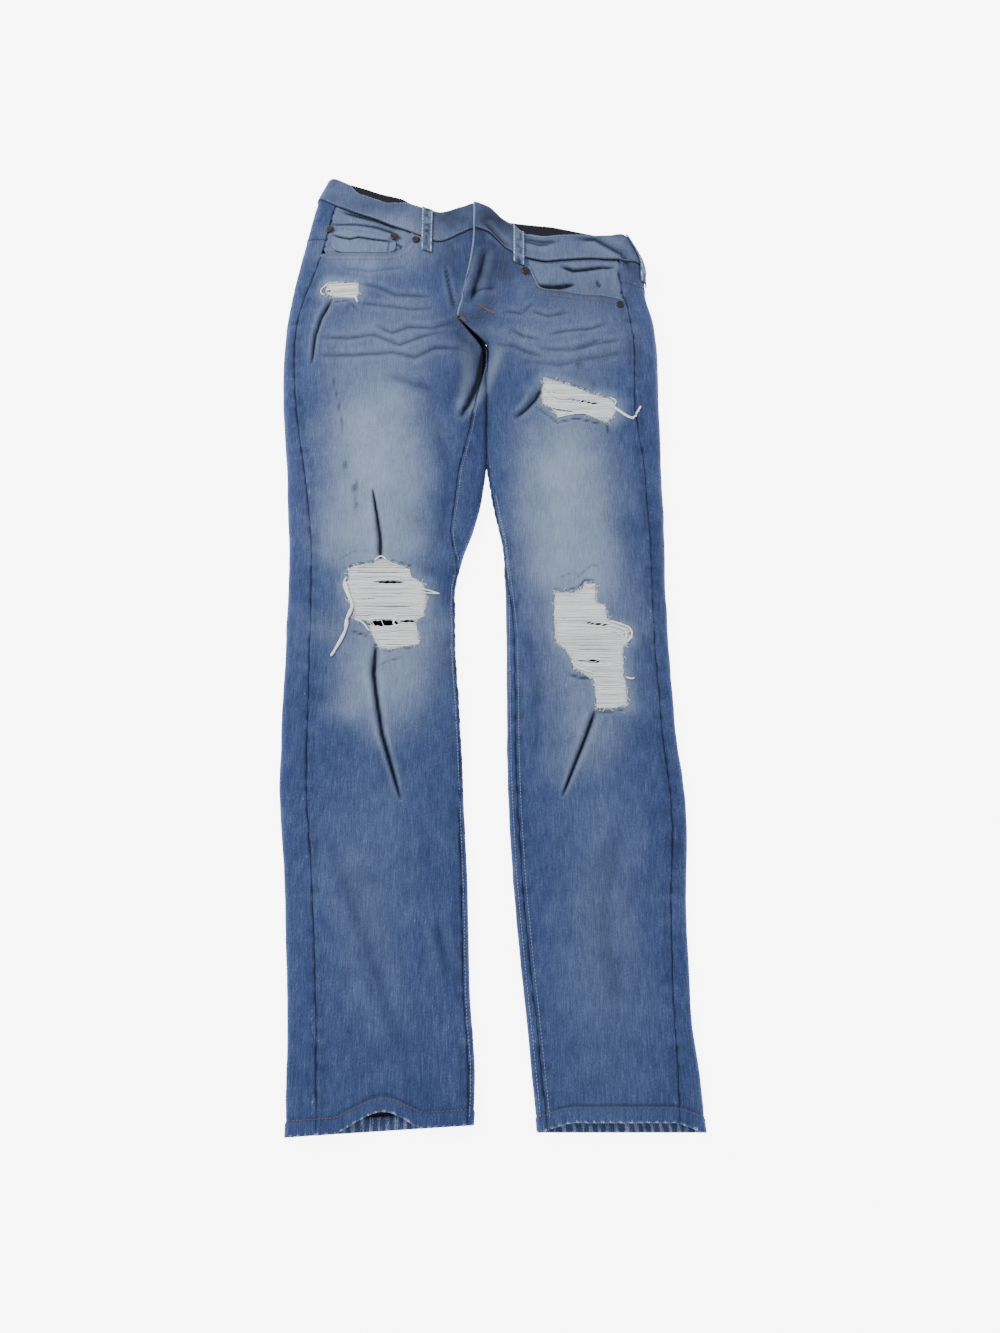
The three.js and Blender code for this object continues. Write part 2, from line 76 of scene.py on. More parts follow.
def through(*pairs):  # smooth curve through given (place, value) pairs
    at = np.array([p[0] for p in pairs], float)
    value = np.array([p[1] for p in pairs], float)
    rate = np.diff(value) / np.diff(at)
    slope = np.zeros(len(at))
    slope[0], slope[-1] = rate[0], rate[-1]
    before, after = rate[:-1], rate[1:]
    same = before * after > 0
    slope[1:-1][same] = 2 * (before * after)[same] / (before + after)[same]

    def curve(x):
        x = np.clip(x, at[0], at[-1])
        k = np.clip(np.searchsorted(at, x) - 1, 0, len(at) - 2)
        span = at[k + 1] - at[k]
        t = (x - at[k]) / span
        pull = t * (1 - t) ** 2 * span * slope[k] + t * t * (t - 1) * span * slope[k + 1]
        return value[k] + (value[k + 1] - value[k]) * t * t * (3 - 2 * t) + pull

    return curve


# Outer folds, inner folds and seams, as x or inset against y
rightOuter = through((-545, -156), (-430, -163), (-320, -173), (-220, -184), (-70, -189), (20, -192),
                     (120, -201), (220, -211), (290, -215), (393, -207), (454, -197), (505, -189),
                     (545, -177))
rightInner = through((-545, 10), (-500, 11), (-430, 6), (-340, 3), (-262, -1), (-160, -7), (-72, -13),
                     (-20, -14), (23, -6), (60, 6), (100, 14), (150, 18.8), (292, 18.8))
leftInner = through((-545, 66), (-480, 60), (-376, 50), (-300, 44), (-200, 40), (-20, 38.5), (30, 36),
                    (70, 29), (110, 22), (150, 17.2), (292, 17.2))
leftOuter = through((-545, 215), (-500, 213), (-430, 208), (-340, 210), (-262, 215), (-150, 209),
                    (-50, 207), (60, 210), (170, 211), (290, 214), (335, 210), (366, 204), (402, 203),
                    (450, 187))
rightOutseam = through((-545, 28), (-150, 27), (60, 25), (200, 16), (320, 13), (420, 24), (545, 22))
leftOutseam = through((-545, 24), (-410, 16), (-30, 15), (117, 19), (215, 29), (300, 28), (380, 30),
                      (450, 26))
rightInseam = through((-545, 6), (-300, 6), (-190, 2), (0, 2), (60, 25), (120, 29), (180, 19), (292, 1))
leftInseam = through((-545, 9), (-80, 9), (20, 2), (292, 1))
loftAt = through((-545, 14), (-480, 15), (-260, 17), (-60, 20), (120, 25), (292, 30), (480, 32))
foldAt = through((-545, 4.5), (-260, 5.5), (-60, 6), (120, 7), (292, 8.5), (480, 9.5))
frontDip = through((-185, 0), (-155, 12), (-123, 20), (-93, 28), (-64, 35), (-42, 40), (-12, 19),
                   (2, 9),
                   (18, 12), (45, 31), (62, 36), (81, 35), (105, 26), (140, 13), (186, 0))
bandSag = through((-170, 0), (-151, 1), (-136, 11), (-106, 11), (-90, 5), (-78, 0), (-40, -2), (0, 4),
                  (30, 3),
                  (46, 0), (62, 7), (110, 5), (154, 7), (178, 0))
backRise = through((-178, 0), (-155, 6.5), (-133, 5), (-114, 2), (-90, 1), (-70, -6), (-27, -8),
                   (33, -3),
                   (62, 0), (106, 5), (150, 5), (178, 0))
rightHemArch = through((-112, 0), (-71, 16), (-36, 0))
leftHemArch = through((68, 0), (100, 8), (185, 8), (212, 0))
foldLine = through((200, -12), (250, 2), (285, 8))
foldDepth = through((195, 0), (235, 9), (280, 13), (300, 9), (330, 0))
centreFront = through((0, 17), (0.08, 5), (0.2, -16), (0.34, -11), (1, 2), (2, 2))


def restAt(y):
    return 2.2 * ease(y, 130, 200) + 1.2 * ease(y, 360, 410)


def asRows(values):
    values = np.asarray(values, float)
    return values if values.ndim == 2 else np.atleast_1d(values)[:, None]


def legRing(side, f):
    f = asRows(f)
    right = side == "right"
    hemA, hemB = (-545, -535) if right else (-541, -541)
    ya = hemA + (cloth["crotch"] - hemA) * f
    yb = hemB + (cloth["crotch"] - hemB) * f
    y = (ya + yb) / 2
    xa = rightOuter(ya) if right else leftInner(ya)
    xb = rightInner(yb) if right else leftOuter(yb)
    return dict(xa=xa, ya=ya, xb=xb, yb=yb, y=y, v=None, side=side,
                fold=foldAt(y), loft=loftAt(y), rest=restAt(y))


def hipRing(v):
    v = asRows(v)
    ya = np.where(v < 1, 292 + 213 * v, 505 + 40 * (v - 1))
    yb = np.where(v < 1, 292 + 110 * v, 402 + 48 * (v - 1))
    y = (ya + yb) / 2
    return dict(xa=rightOuter(ya), ya=ya, xb=leftOuter(yb), yb=yb, y=y, v=v, side="hip",
                fold=foldAt(y), loft=loftAt(y), rest=restAt(y))


def halfRound(ring):
    return math.pi * ring["fold"] + ring["xb"] - ring["xa"] - 2 * ring["fold"]


def overTop(ring, x):
    return ring["fold"] * (math.pi / 2 - 1) + x - ring["xa"]


def roundFrom(inset, fold):
    curved = fold * np.arccos(np.clip(1 - inset / fold, -1, 1))
    return np.where(inset < fold, curved, fold * math.pi / 2 + inset - fold)


def ringPoint(ring, q):  # q runs round the ring from the -X fold, positive over the top
    fold = ring["fold"]
    width = ring["xb"] - ring["xa"]
    half = halfRound(ring)
    turn = np.where(q > half, q - 2 * half, q)
    turn = np.where(turn < -half, turn + 2 * half, turn)
    t = np.abs(turn)
    top = turn > 0
    quarter = fold * math.pi / 2
    inset = t - quarter + fold
    rise = fold + 0 * t
    near, far = t < quarter, t > half - quarter
    inset = np.where(near, fold * (1 - np.cos(t / fold)), inset)
    rise = np.where(near, fold * np.sin(t / fold), rise)
    inset = np.where(far, width - fold * (1 - np.cos((half - t) / fold)), inset)
    rise = np.where(far, fold * np.sin((half - t) / fold), rise)
    across = inset / width
    x = ring["xa"] + width * across
    y = ring["ya"] + (ring["yb"] - ring["ya"]) * across
    crown = 1 - np.abs(2 * across - 1) ** 2.6
    z = ring["rest"] + fold + np.where(top, rise + (ring["loft"] - 2 * fold) * crown, -rise)
    if ring["side"] == "hip":
        slack = np.minimum(ring["v"], 1) ** 2
        onBand = np.maximum(ring["v"] - 1, 0)
        corner = 5 * np.exp(-((x - ring["xa"]) / 7) ** 2) + 4 * np.exp(-((x - ring["xb"]) / 8) ** 2)
        front = -frontDip(x) * slack - bandSag(x) * onBand
        onYoke = ease(ring["v"], 0.76, 1)
        back = 8 * slack * np.sin(math.pi * across) * (1 - onYoke) + backRise(x) * onYoke
        y = y + np.where(top, front, back) - corner * onBand
        saddle = 12 * np.exp(-((x - 17) / 30) ** 2) * (1 - ease(ring["v"], 0, 0.45))
        z = np.where(top, z - saddle, z)
    else:
        arch = rightHemArch if ring["side"] == "right" else leftHemArch
        y = np.where(top, y + arch(x) * (1 - ease(ring["y"], -545, -470)), y)
    if ring["side"] != "left":
        pressed = foldDepth(y) * np.exp(-((x - foldLine(y)) / 13) ** 2)
        z = np.where(top, z - pressed, z)
    return np.stack(np.broadcast_arrays(x, y, z), axis=-1)


def gridNormals(grid):
    across = np.gradient(grid, axis=1)
    along = np.gradient(grid, axis=0)
    normal = np.cross(across, along)
    return normal / np.maximum(np.linalg.norm(normal, axis=-1, keepdims=True), 1e-9)


def onGrid(ringAt, at, q, out):  # points of a band of rings, moved out of the surface
    step = 0.004
    ring, ahead, behind = ringAt(at), ringAt(at + step), ringAt(at - step)
    half = halfRound(ring)
    here = ringPoint(ring, q)
    across = ringPoint(ring, q + 0.5) - ringPoint(ring, q - 0.5)
    along = ringPoint(ahead, q * halfRound(ahead) / half)
    along = along - ringPoint(behind, q * halfRound(behind) / half)
    normal = np.cross(across, along)
    normal /= np.linalg.norm(normal, axis=-1, keepdims=True)
    return here + normal * np.asarray(out)[..., None], normal


def legSeams(side, ring):
    right = side == "right"
    half = halfRound(ring)
    outseam = roundFrom((rightOutseam if right else leftOutseam)(ring["y"]), ring["fold"])
    inseam = roundFrom((rightInseam if right else leftInseam)(ring["y"]), ring["fold"])
    room = 2.4 * ease(ring["y"], 247, 292)
    if right:
        return outseam, half - inseam, 0 * room, room
    return inseam, half - outseam, room, 0 * room


def hipSeams(ring):
    front = overTop(ring, centreFront(ring["v"]))
    back = -overTop(ring, 18 * (1 - np.minimum(ring["v"], 1)))
    right = roundFrom(rightOutseam(ring["ya"]), ring["fold"])
    left = halfRound(ring) - roundFrom(leftOutseam(ring["yb"]), ring["fold"])
    return right, left, front, back


def lapAt(v):
    return ease(v, 0.2, 0.45)


def lapLift(ring, q, height):
    past = q - overTop(ring, centreFront(ring["v"]))
    lift = height * ease(ring["v"], 0.02, 0.16) * (1 - ease(past, 18, 36))
    return np.where(past < -0.5, 0, lift)


def frontSpan(side, ring):
    gap = cloth["seam"] / 2
    if ring["side"] != "hip":
        start, end, startRoom, endRoom = legSeams(side, ring)
        return start + gap + startRoom, end - gap - endRoom
    right, left, front, back = hipSeams(ring)
    if side == "left":
        return front + gap, left - gap
    return right + gap, front - gap + cloth["flyLap"] * lapAt(ring["v"])


def backSpan(side, ring):
    gap = cloth["seam"] / 2
    half = halfRound(ring)
    if ring["side"] != "hip":
        start, end, startRoom, endRoom = legSeams(side, ring)
        return end - 2 * half + gap + endRoom, start - gap - startRoom
    right, left, front, back = hipSeams(ring)
    if side == "right":
        return back + gap, right - gap
    return left - 2 * half + gap, back - gap


# Relief, wear and painted shade. Every crease: its points, half width, depth, darkness (painted shade
# along the crease).
topCreases = [
    ([(-104, 99), (-98, 66), (-94, 41), (-93, 17)], (1.2, 3.2), 3.0, 1.7),
    ([(-94, -80), (-95, -112), (-91, -138), (-84, -176), (-64, -241)], (3.6, 1.3), 3.2, 1.7),
    ([(-162, 352), (-173, 326), (-178, 301), (-180, 262)], (2.6, 1.4), 2.4, 1.3),
    ([(-131, 6), (-119, 10), (-100, 14)], 1.1, 0.8, 0.9),
    ([(-83, 15), (-59, 9)], 1.1, 0.8, 0.7),
    ([(-85, -88), (-73, -86), (-54, -83)], 1.1, 0.6, 0.5),
    ([(-92, -105), (-79, -98), (-65, -94)], 1.2, 0.6, 0.5),
    ([(-134, 18), (-122, 25), (-103, 24)], 1.4, 0.5, 0.35),
    ([(-118, -66), (-103, -71)], 1.6, 1.0, 0.8),
    ([(89, -18), (101, -20), (115, -16), (121, -8), (133, -8)], 1.2, 0.8, 0.8),
    ([(92, -6), (110, 1), (115, -4), (128, 8), (136, 9)], 0.9, 0.4, 0.5),
    ([(103, -113), (114, -117), (126, -118)], 1.8, 1.0, 0.8),
    ([(130, -153), (144, -153), (157, -151)], 1.4, 0.8, 0.8),
    ([(71, 201), (80, 196), (96, 181), (117, 186), (136, 181), (149, 179)], 1.3, 0.8, 0.8),
    ([(87, 241), (107, 233), (134, 221)], 1.1, 0.6, 0.5),
    ([(150, 181), (152, 169)], 1.6, 0.8, 0.7),
    ([(-162, 346), (-152, 347), (-145, 349), (-137, 341), (-131, 333)], 1.3, 0.7, 0.7),
    ([(-146, 376), (-132, 374)], 1.1, 0.5, 0.6),
    ([(-156, 291), (-154, 242), (-142, 186), (-140, 153)], 1.2, 0.7, 0.5),
    ([(-88, 241), (-62, 230), (-40, 225)], 6.0, 1.6, 0.35),
    ([(-131, -283), (-103, -349), (-56, -477)], 7.0, 1.3, 0.25),
    ([(-25, -363), (-16, -408)], 4.0, 1.2, 0.35),
    ([(-31, 393), (-26, 365), (-19, 332)], (1.6, 2.2), 2.0, 0.85),
    ([(15, 412), (10, 385), (4, 361), (0, 344)], (3.0, 4.6), 2.4, 1.3),
    ([(-2, 352), (9, 357), (27, 362)], 3.2, 1.5, 0.7),
    ([(51, 190), (62, 200), (72, 212), (79, 227)], (2.6, 4.0), 2.8, 1.2),
    ([(16, 292), (9, 249), (-1, 218), (-10, 194)], (8.0, 2.6), 1.0, 2.4),
    ([(128, -151), (118, -179), (94, -238)], (3.0, 1.2), 2.8, 1.5),
    ([(13, 456), (26, 438), (42, 419)], 2.6, 1.8, 0.9),
    ([(62, 429), (78, 423), (91, 425)], 3.6, 1.8, 0.8),
    ([(126, 435), (146, 437), (161, 427), (177, 417), (186, 398)], 4.4, 2.2, 0.9),
    ([(63, 432), (80, 428), (100, 429)], 3.4, 1.4, 0.8),
    ([(146, 378), (149, 368)], 1.6, 0.8, 0.9),
    ([(190, 120), (196, 40), (197, -60)], 6.0, 1.2, 0.2),
    ([(-40, 190), (-22, 120), (-30, 40)], 7.0, 1.4, 0.25),
    ([(150, -260), (130, -350), (141, -440)], 8.0, 1.2, 0.2),
    ([(60, -60), (72, -130), (66, -210)], 6.0, 1.2, 0.22),
    ([(-136, 137), (-133, 124)], 1.6, 0.8, 0.5),
    ([(-122, 112), (-121, 78)], 1.6, 0.8, 0.5),
]
# Long creases that a column of the panel mesh is drawn on to
sharpLines = {
    "right": [[(-104, 99), (-98, 66), (-94, 41), (-93, 17), (-94, -80), (-95, -112), (-91, -138),
               (-84, -176),
               (-64, -241)],
              [(-162, 352), (-173, 326), (-178, 301), (-180, 262)]],
    "left": [[(128, -151), (118, -179), (94, -238)]],
}
# Faint creases over the hips, in the same form; their darkness is painted shade
whiskers = [
    ([(-132, 372), (-109, 365), (-87, 352), (-46, 350)], 2.6, 0.8, 0.5),
    ([(-129, 343), (-100, 338), (-67, 332), (-46, 333)], 2.6, 0.8, 0.45),
    ([(-107, 310), (-90, 299), (-71, 308), (-44, 306), (-15, 318)], 2.8, 1.0, 0.6),
    ([(-173, 297), (-140, 293), (-110, 297), (-81, 282), (-55, 295), (-26, 304)], 2.8, 1.0, 0.6),
    ([(-171, 272), (-133, 269), (-88, 272), (-63, 266), (-41, 280), (-2, 283)], 3.0, 1.0, 0.6),
    ([(-150, 395), (-120, 388), (-80, 392)], 2.4, 0.6, 0.3),
    ([(71, 329), (88, 323), (110, 329)], 2.4, 0.8, 0.5),
    ([(90, 297), (109, 303), (137, 307), (153, 315)], 2.6, 0.9, 0.55),
    ([(117, 278), (137, 285), (148, 291)], 2.6, 0.9, 0.5),
    ([(46, 306), (60, 296), (76, 291)], 2.6, 0.9, 0.5),
    ([(28, 290), (48, 285), (65, 274), (81, 267)], 2.8, 1.0, 0.55),
    ([(81, 277), (117, 276), (137, 282), (170, 292)], 2.8, 0.9, 0.5),
    ([(60, 262), (100, 256), (150, 268), (176, 276)], 3.2, 0.8, 0.35),
    ([(40, 330), (58, 326), (70, 340)], 2.4, 0.8, 0.5),
]
# Creases underneath, in the same form; their darkness is painted shade
underCreases = [
    ([(-185, 30), (-120, 18), (-40, 32)], 6, 2.4, 0.4),
    ([(-180, 4), (-110, -12), (-30, 2)], 5, 2.2, 0.45),
    ([(-186, -30), (-110, -44), (-30, -24)], 6, 2.4, 0.4),
    ([(-182, -64), (-100, -78), (-22, -66)], 7, 2.0, 0.3),
    ([(50, 26), (120, 12), (200, 30)], 6, 2.4, 0.4), ([(48, -6), (120, -20), (198, -4)], 5, 2.2, 0.45),
    ([(50, -40), (130, -54), (200, -36)], 6, 2.4, 0.4),
    ([(48, -80), (120, -92), (196, -78)], 7, 2.0, 0.3),
    ([(-190, 205), (-110, 196), (-20, 232)], 8, 1.8, 0.3),
    ([(205, 190), (120, 178), (34, 226)], 8, 1.8, 0.3),
    ([(-150, -300), (-90, -330), (-30, -320)], 8, 1.4, 0.2),
    ([(80, -330), (130, -350), (190, -330)], 8, 1.4, 0.2),
]
# Worn, pale places: middle, reach, strength
fades = [
    ((-105, 140), (52, 112), 0.95), ((-96, 40), (52, 46), 0.75), ((-84, -118), (48, 52), 0.7),
    ((107, 98), (50, 112), 0.95), ((118, 0), (46, 56), 0.6), ((116, -172), (36, 42), 0.38),
    ((-105, 300), (80, 60), 0.3), ((112, 300), (80, 60), 0.26),
    ((-110, 425), (70, 45), 0.5), ((120, 385), (75, 40), 0.22),
    ((-90, -330), (44, 120), 0.12), ((128, -360), (46, 150), 0.14),
    ((-86, -64), (60, 34), 0.5), ((128, -92), (48, 74), 0.4),
]
shadows = [
    ((-28, 466), (34, 30), 0.72), ((26, 458), (32, 34), 0.85), ((14, 395), (18, 52), 0.62),
    ((-22, 412), (24, 40), 0.42), ((34, 400), (28, 46), 0.46), ((-168, 505), (14, 30), 0.3),
    ((186, 405), (16, 34), 0.45), ((60, 440), (14, 40), 0.3), ((120, 458), (70, 9), 0.5),
    ((-4, 320), (34, 46), 0.26), ((20, 250), (26, 60), 0.3), ((-120, 516), (34, 7), 0.3),
    ((-110, 486), (60, 16), 0.34), ((120, 372), (60, 26), 0.26), ((-136, 130), (2.5, 5), 0.7),
    ((-124, 101), (2.5, 6), 0.7),
    ((-121, 80), (2, 5), 0.6), ((121, 257), (2.5, 6), 0.8), ((151, 267), (2.5, 5), 0.7),
]
rips = {
    "hipRight": [(-168, 375), (-161, 376), (-150, 374), (-132, 372), (-131, 354), (-135, 351),
                 (-160, 354), (-167, 359),
                 (-170, 366)],
    "thighLeft": [(82, 239), (106, 231), (132, 219), (154, 212), (160, 206), (161, 196), (152, 182),
                  (143, 184),
                  (123, 192), (97, 188), (90, 199), (80, 205), (80, 220)],
    "kneeRight": [(-127, 4), (-118, 9), (-100, 12), (-94, 18), (-85, 14), (-62, 6), (-60, -3),
                  (-48, -10), (-44, -26),
                  (-45, -48), (-55, -54), (-52, -62), (-50, -79), (-64, -83), (-87, -86), (-94, -78),
                  (-100, -66),
                  (-103, -54), (-118, -52), (-117, -42), (-123, -34), (-128, -14), (-125, -6)],
    "kneeLeft": [(90, -22), (109, -23), (119, -17), (122, -12), (132, -11), (132, -33), (142, -38),
                 (143, -52),
                 (153, -57), (166, -63), (166, -74), (158, -84), (158, -105), (160, -131),
                 (160, -146), (144, -150),
                 (130, -150), (128, -119), (115, -111), (108, -107), (106, -96), (98, -84), (90, -78),
                 (89, -48)],
}
rightMouth = [(-230, 420), (-171, 419), (-131, 414), (-92, 413), (-80, 419), (-73, 433), (-68, 450),
              (-68, 560), (-230, 560)]
leftMouth = [(62, 420), (66, 392), (74, 372), (78, 358), (107, 359), (126, 354), (150, 356), (178, 351),
             (230, 351), (230, 480), (62, 480)]
rightFacing = [(-180, 412), (-131, 407), (-90, 406), (-74, 412), (-64, 430), (-62, 446), (-85, 455),
               (-105, 466), (-125, 477), (-145, 486), (-160, 492), (-180, 495)]
leftFacing = [(58, 412), (60, 386), (68, 368), (72, 350), (107, 351), (126, 346), (150, 348),
              (182, 343),
              (180, 402), (165, 410), (150, 413), (120, 414), (90, 413)]
coinPocket = [(-168, 421), (-131, 416), (-94, 415), (-89, 420), (-90, 436), (-130, 447), (-168, 457)]


def nearLine(x, y, points):  # distance to a drawn line, and how far along it
    points = np.array(points, float)
    lengths = np.linalg.norm(np.diff(points, axis=0), axis=1)
    total = lengths.sum()
    best = np.full(np.shape(x), 1e9)
    along = np.zeros(np.shape(x))
    run = 0
    for (x0, y0), (x1, y1), length in zip(points[:-1], points[1:], lengths):
        ux, uy = (x1 - x0) / length, (y1 - y0) / length
        t = np.clip((x - x0) * ux + (y - y0) * uy, 0, length)
        d = np.hypot(x - x0 - t * ux, y - y0 - t * uy)
        closer = d < best
        best = np.where(closer, d, best)
        along = np.where(closer, (run + t) / total, along)
        run += length
    return best, along


def nearOutline(x, y, outline):
    return nearLine(x, y, list(outline) + [outline[0]])[0]


def inOutline(x, y, outline):
    inside = np.zeros(np.shape(x), bool)
    for (x0, y0), (x1, y1) in zip(outline, outline[1:] + outline[:1]):
        if y0 == y1:
            continue
        crosses = (y0 > y) != (y1 > y)
        inside ^= crosses & (x < x0 + (y - y0) * (x1 - x0) / (y1 - y0))
    return inside


def softNoise(x, y, size, seed):  # smooth value noise over the plan, from -1 to 1
    table = np.random.default_rng(seed).uniform(-1, 1, (64, 64))
    u, w = np.asarray(x) / size, np.asarray(y) / size
    i, j = np.floor(u).astype(int), np.floor(w).astype(int)
    a, b = u - i, w - j
    a, b = a * a * (3 - 2 * a), b * b * (3 - 2 * b)
    row0 = table[i % 64, j % 64] * (1 - a) + table[(i + 1) % 64, j % 64] * a
    row1 = table[i % 64, (j + 1) % 64] * (1 - a) + table[(i + 1) % 64, (j + 1) % 64] * a
    return row0 * (1 - b) + row1 * b


def topRelief(x, y):  # height out of the cloth, painted shade of creases and shadow patches, and fading
    high = 0.9 * softNoise(x, y, 46, 3) + 0.5 * softNoise(x, y, 19, 4) + 0.16 * softNoise(x, y, 8, 5)
    dark = np.zeros(np.shape(x))
    pale = np.zeros(np.shape(x))
    for points, width, depth, darkness in topCreases + whiskers:
        far, along = nearLine(x, y, points)
        if isinstance(width, tuple):
            width = width[0] + (width[1] - width[0]) * along
        taper = np.clip(np.minimum(along, 1 - along) * 6 + 0.15, 0, 1) ** 0.6
        groove = np.exp(-(far / width) ** 2) * taper
        ridge = np.exp(-((far - 2.3 * width) / (1.2 * width)) ** 2) * taper
        high += 0.45 * depth * ridge - depth * groove
        dark = np.maximum(dark, darkness * np.exp(-(far / (0.62 * width)) ** 2) * taper)
        dark = np.maximum(dark, 0.4 * darkness * groove)
        pale = np.maximum(pale, 0.22 * darkness * ridge)
    for (cx, cy), (rx, ry), strength in fades:
        wander = 9 * softNoise(x, y, 30, 8)
        r = np.hypot((x - cx + wander) / rx, (y - cy + wander) / ry)
        pale = 1 - (1 - pale) * (1 - strength * np.exp(-r ** 2.6))
    for (cx, cy), (rx, ry), strength in shadows:
        cloud = strength * np.exp(-((x - cx) / rx) ** 2 - ((y - cy) / ry) ** 2)
        dark = np.maximum(dark, cloud * (0.8 + 0.2 * softNoise(x, y, 9, 12)))
    return high, np.clip(dark, 0, 1), np.clip(pale, 0, 1)


def underRelief(x, y):
    high = -0.35 - 0.35 * softNoise(x, y, 40, 13)
    dark = np.zeros(np.shape(x))
    pale = 0.45 * np.exp(-((x + 112) / 55) ** 2 - ((y - 260) / 95) ** 2)
    pale += 0.45 * np.exp(-((x - 122) / 55) ** 2 - ((y - 230) / 95) ** 2)
    for points, width, depth, darkness in underCreases:
        far, along = nearLine(x, y, points)
        taper = np.clip(np.minimum(along, 1 - along) * 4, 0, 1) ** 0.6
        high -= depth * np.exp(-(far / width) ** 2) * taper
        # painted shade in the underside creases
        dark = np.maximum(dark, darkness * np.exp(-(far / (0.6 * width)) ** 2) * taper)
        pale += 0.15 * np.exp(-((far - 2 * width) / width) ** 2) * taper
    return high, dark, np.clip(pale, 0, 1)


# Materials

class Value:  # a number socket that takes part in sums
    def __init__(self, graph, socket):
        self.graph, self.socket = graph, socket

    def sum(self, operation, a, b):
        return self.graph.add("ShaderNodeMath", {"operation": operation}, {0: a, 1: b})

    def __add__(self, other): return self.sum("ADD", self, other)
    def __radd__(self, other): return self.sum("ADD", other, self)
    def __sub__(self, other): return self.sum("SUBTRACT", self, other)
    def __rsub__(self, other): return self.sum("SUBTRACT", other, self)
    def __mul__(self, other): return self.sum("MULTIPLY", self, other)
    def __rmul__(self, other): return self.sum("MULTIPLY", other, self)
    def __truediv__(self, other): return self.sum("DIVIDE", self, other)
    def __pow__(self, other): return self.sum("POWER", self, other)


class Finish:  # a material and the nodes in it
    def __init__(self, name):
        self.material = bpy.data.materials.new(name)
        self.material.use_nodes = True
        self.tree = self.material.node_tree
        self.shader = self.tree.nodes["Principled BSDF"]

    def add(self, kind, settings=None, inputs=None, output=0):
        node = self.tree.nodes.new(kind)
        for key, value in (settings or {}).items():
            if key == "stops":
                ramp = node.color_ramp
                while len(ramp.elements) < len(value):
                    ramp.elements.new(0.5)
                for element, (place, shade) in zip(ramp.elements, value):
                    element.position, element.color = place, (*shade, 1)
            else:
                setattr(node, key, value)
        for key, value in (inputs or {}).items():
            self.feed(node.inputs[key], value)
        return Value(self, node.outputs[output])

    def feed(self, socket, value):
        if isinstance(value, Value):
            self.tree.links.new(value.socket, socket)
        elif isinstance(value, (tuple, list)) and len(value) == 3 and socket.type == "RGBA":
            socket.default_value = (*value, 1)
        else:
            socket.default_value = value

    def mix(self, factor, a, b):
        return self.add("ShaderNodeMix", {"data_type": "RGBA"}, {0: factor, 6: a, 7: b}, output=2)

    def clamp(self, value, low=0.0, high=1.0):
        return self.add("ShaderNodeClamp", {}, {"Value": value, "Min": low, "Max": high})

    def between(self, value, low, high):
        return self.add("ShaderNodeMapRange", {"interpolation_type": "SMOOTHSTEP"},
                        {"Value": value, "From Min": low, "From Max": high, "To Min": 0.0,
                         "To Max": 1.0})

    def read(self, name):
        return self.add("ShaderNodeAttribute", {"attribute_name": name}, output=2)

    def noise(self, scale, detail=2.0, rough=0.5, stretch=(1, 1, 1)):
        place = self.add("ShaderNodeTexCoord", output=3)
        moved = self.add("ShaderNodeMapping", {"vector_type": "POINT"},
                         {"Vector": place, "Scale": stretch})
        return self.add("ShaderNodeTexNoise", {}, {"Vector": moved, "Scale": scale, "Detail": detail,
                                                    "Roughness": rough})

    def bump(self, height, strength, distance):
        return self.add("ShaderNodeBump", {},
                        {"Height": height, "Strength": strength, "Distance": distance})

    def set(self, **values):
        for key, value in values.items():
            self.feed(self.shader.inputs[key.replace("_", " ")], value)
        return self.material


denimShades = {
    # painted shade colour, for creases, hollows and shadowed places
    "paintedShadeColour": (0.0025, 0.0035, 0.010),
    "deep": (0.010, 0.016, 0.052),
    "mid": (0.026, 0.044, 0.122),
    "light": (0.062, 0.090, 0.190),
    "pale": (0.235, 0.300, 0.400),
    "bare": (0.480, 0.530, 0.580),
    # inner faces: painted shade, near black, darker than the cloth's own paler inside
    "inside": (0.016, 0.016, 0.026),
}


def denimFinish(name, darker=0.0):
    f = Finish(name)
    shades = denimShades
    slub = f.noise(1150, 2.0, 0.6, (1, 0.055, 1))
    thread = f.noise(1900, 1.0, 0.5, (1, 0.3, 1))
    cloud = f.noise(24, 3.0, 0.55)
    blotch = f.noise(110, 2.0, 0.6, (1, 0.5, 1))
    fade, dark = f.read("fade"), f.read("dark")
    wear, inside = f.read("wear"), f.read("inside")
    grain = (slub - 0.5) * 1.5 + (thread - 0.5) * 1.3 + (blotch - 0.5) * 0.55
    tone = f.clamp(0.47 + grain * 0.62 + (cloud - 0.5) * 0.35 - darker)
    dyed = f.add("ShaderNodeValToRGB", {"stops": [(0.0, shades["deep"]), (0.42, shades["mid"]),
                                                   (0.8, shades["light"]), (1.0, shades["pale"])]},
                                                   {"Fac": tone})
    washed = f.clamp(fade * (0.78 + grain * 0.42 + (cloud - 0.5) * 0.5))
    body = f.mix(washed, dyed, shades["pale"])
    rubbed = f.between(wear + grain * 0.34, 0.32, 0.82)
    body = f.mix(rubbed, body, shades["bare"])
    # painted shade: the dark attribute darkens creases, hollows and shadowed places; it also darkens seam
    # edges
    paintedShadeMask = f.clamp(dark * (1.0 + grain * 0.25))
    body = f.mix(paintedShadeMask, body, shades["paintedShadeColour"])
    # inner faces take the painted shade of the inside colour
    body = f.mix(inside, body, f.mix(thread, shades["inside"], (0.005, 0.005, 0.011)))
    height = slub * 0.5 + thread * 0.5
    f.set(Base_Color=body, Roughness=0.92, Specular_IOR_Level=0.18,
          Normal=f.bump(height, 0.35, 0.0006))
    return f.material


def threadFinish(name, shade, shadeDark):
    f = Finish(name)
    twist = f.noise(900, 2.0, 0.6)
    f.set(Base_Color=f.mix(f.clamp(twist * 1.6 - 0.3), shadeDark, shade), Roughness=0.85,
          Specular_IOR_Level=0.15, Normal=f.bump(f.noise(2600, 1.0), 0.4, 0.0003))
    return f.material


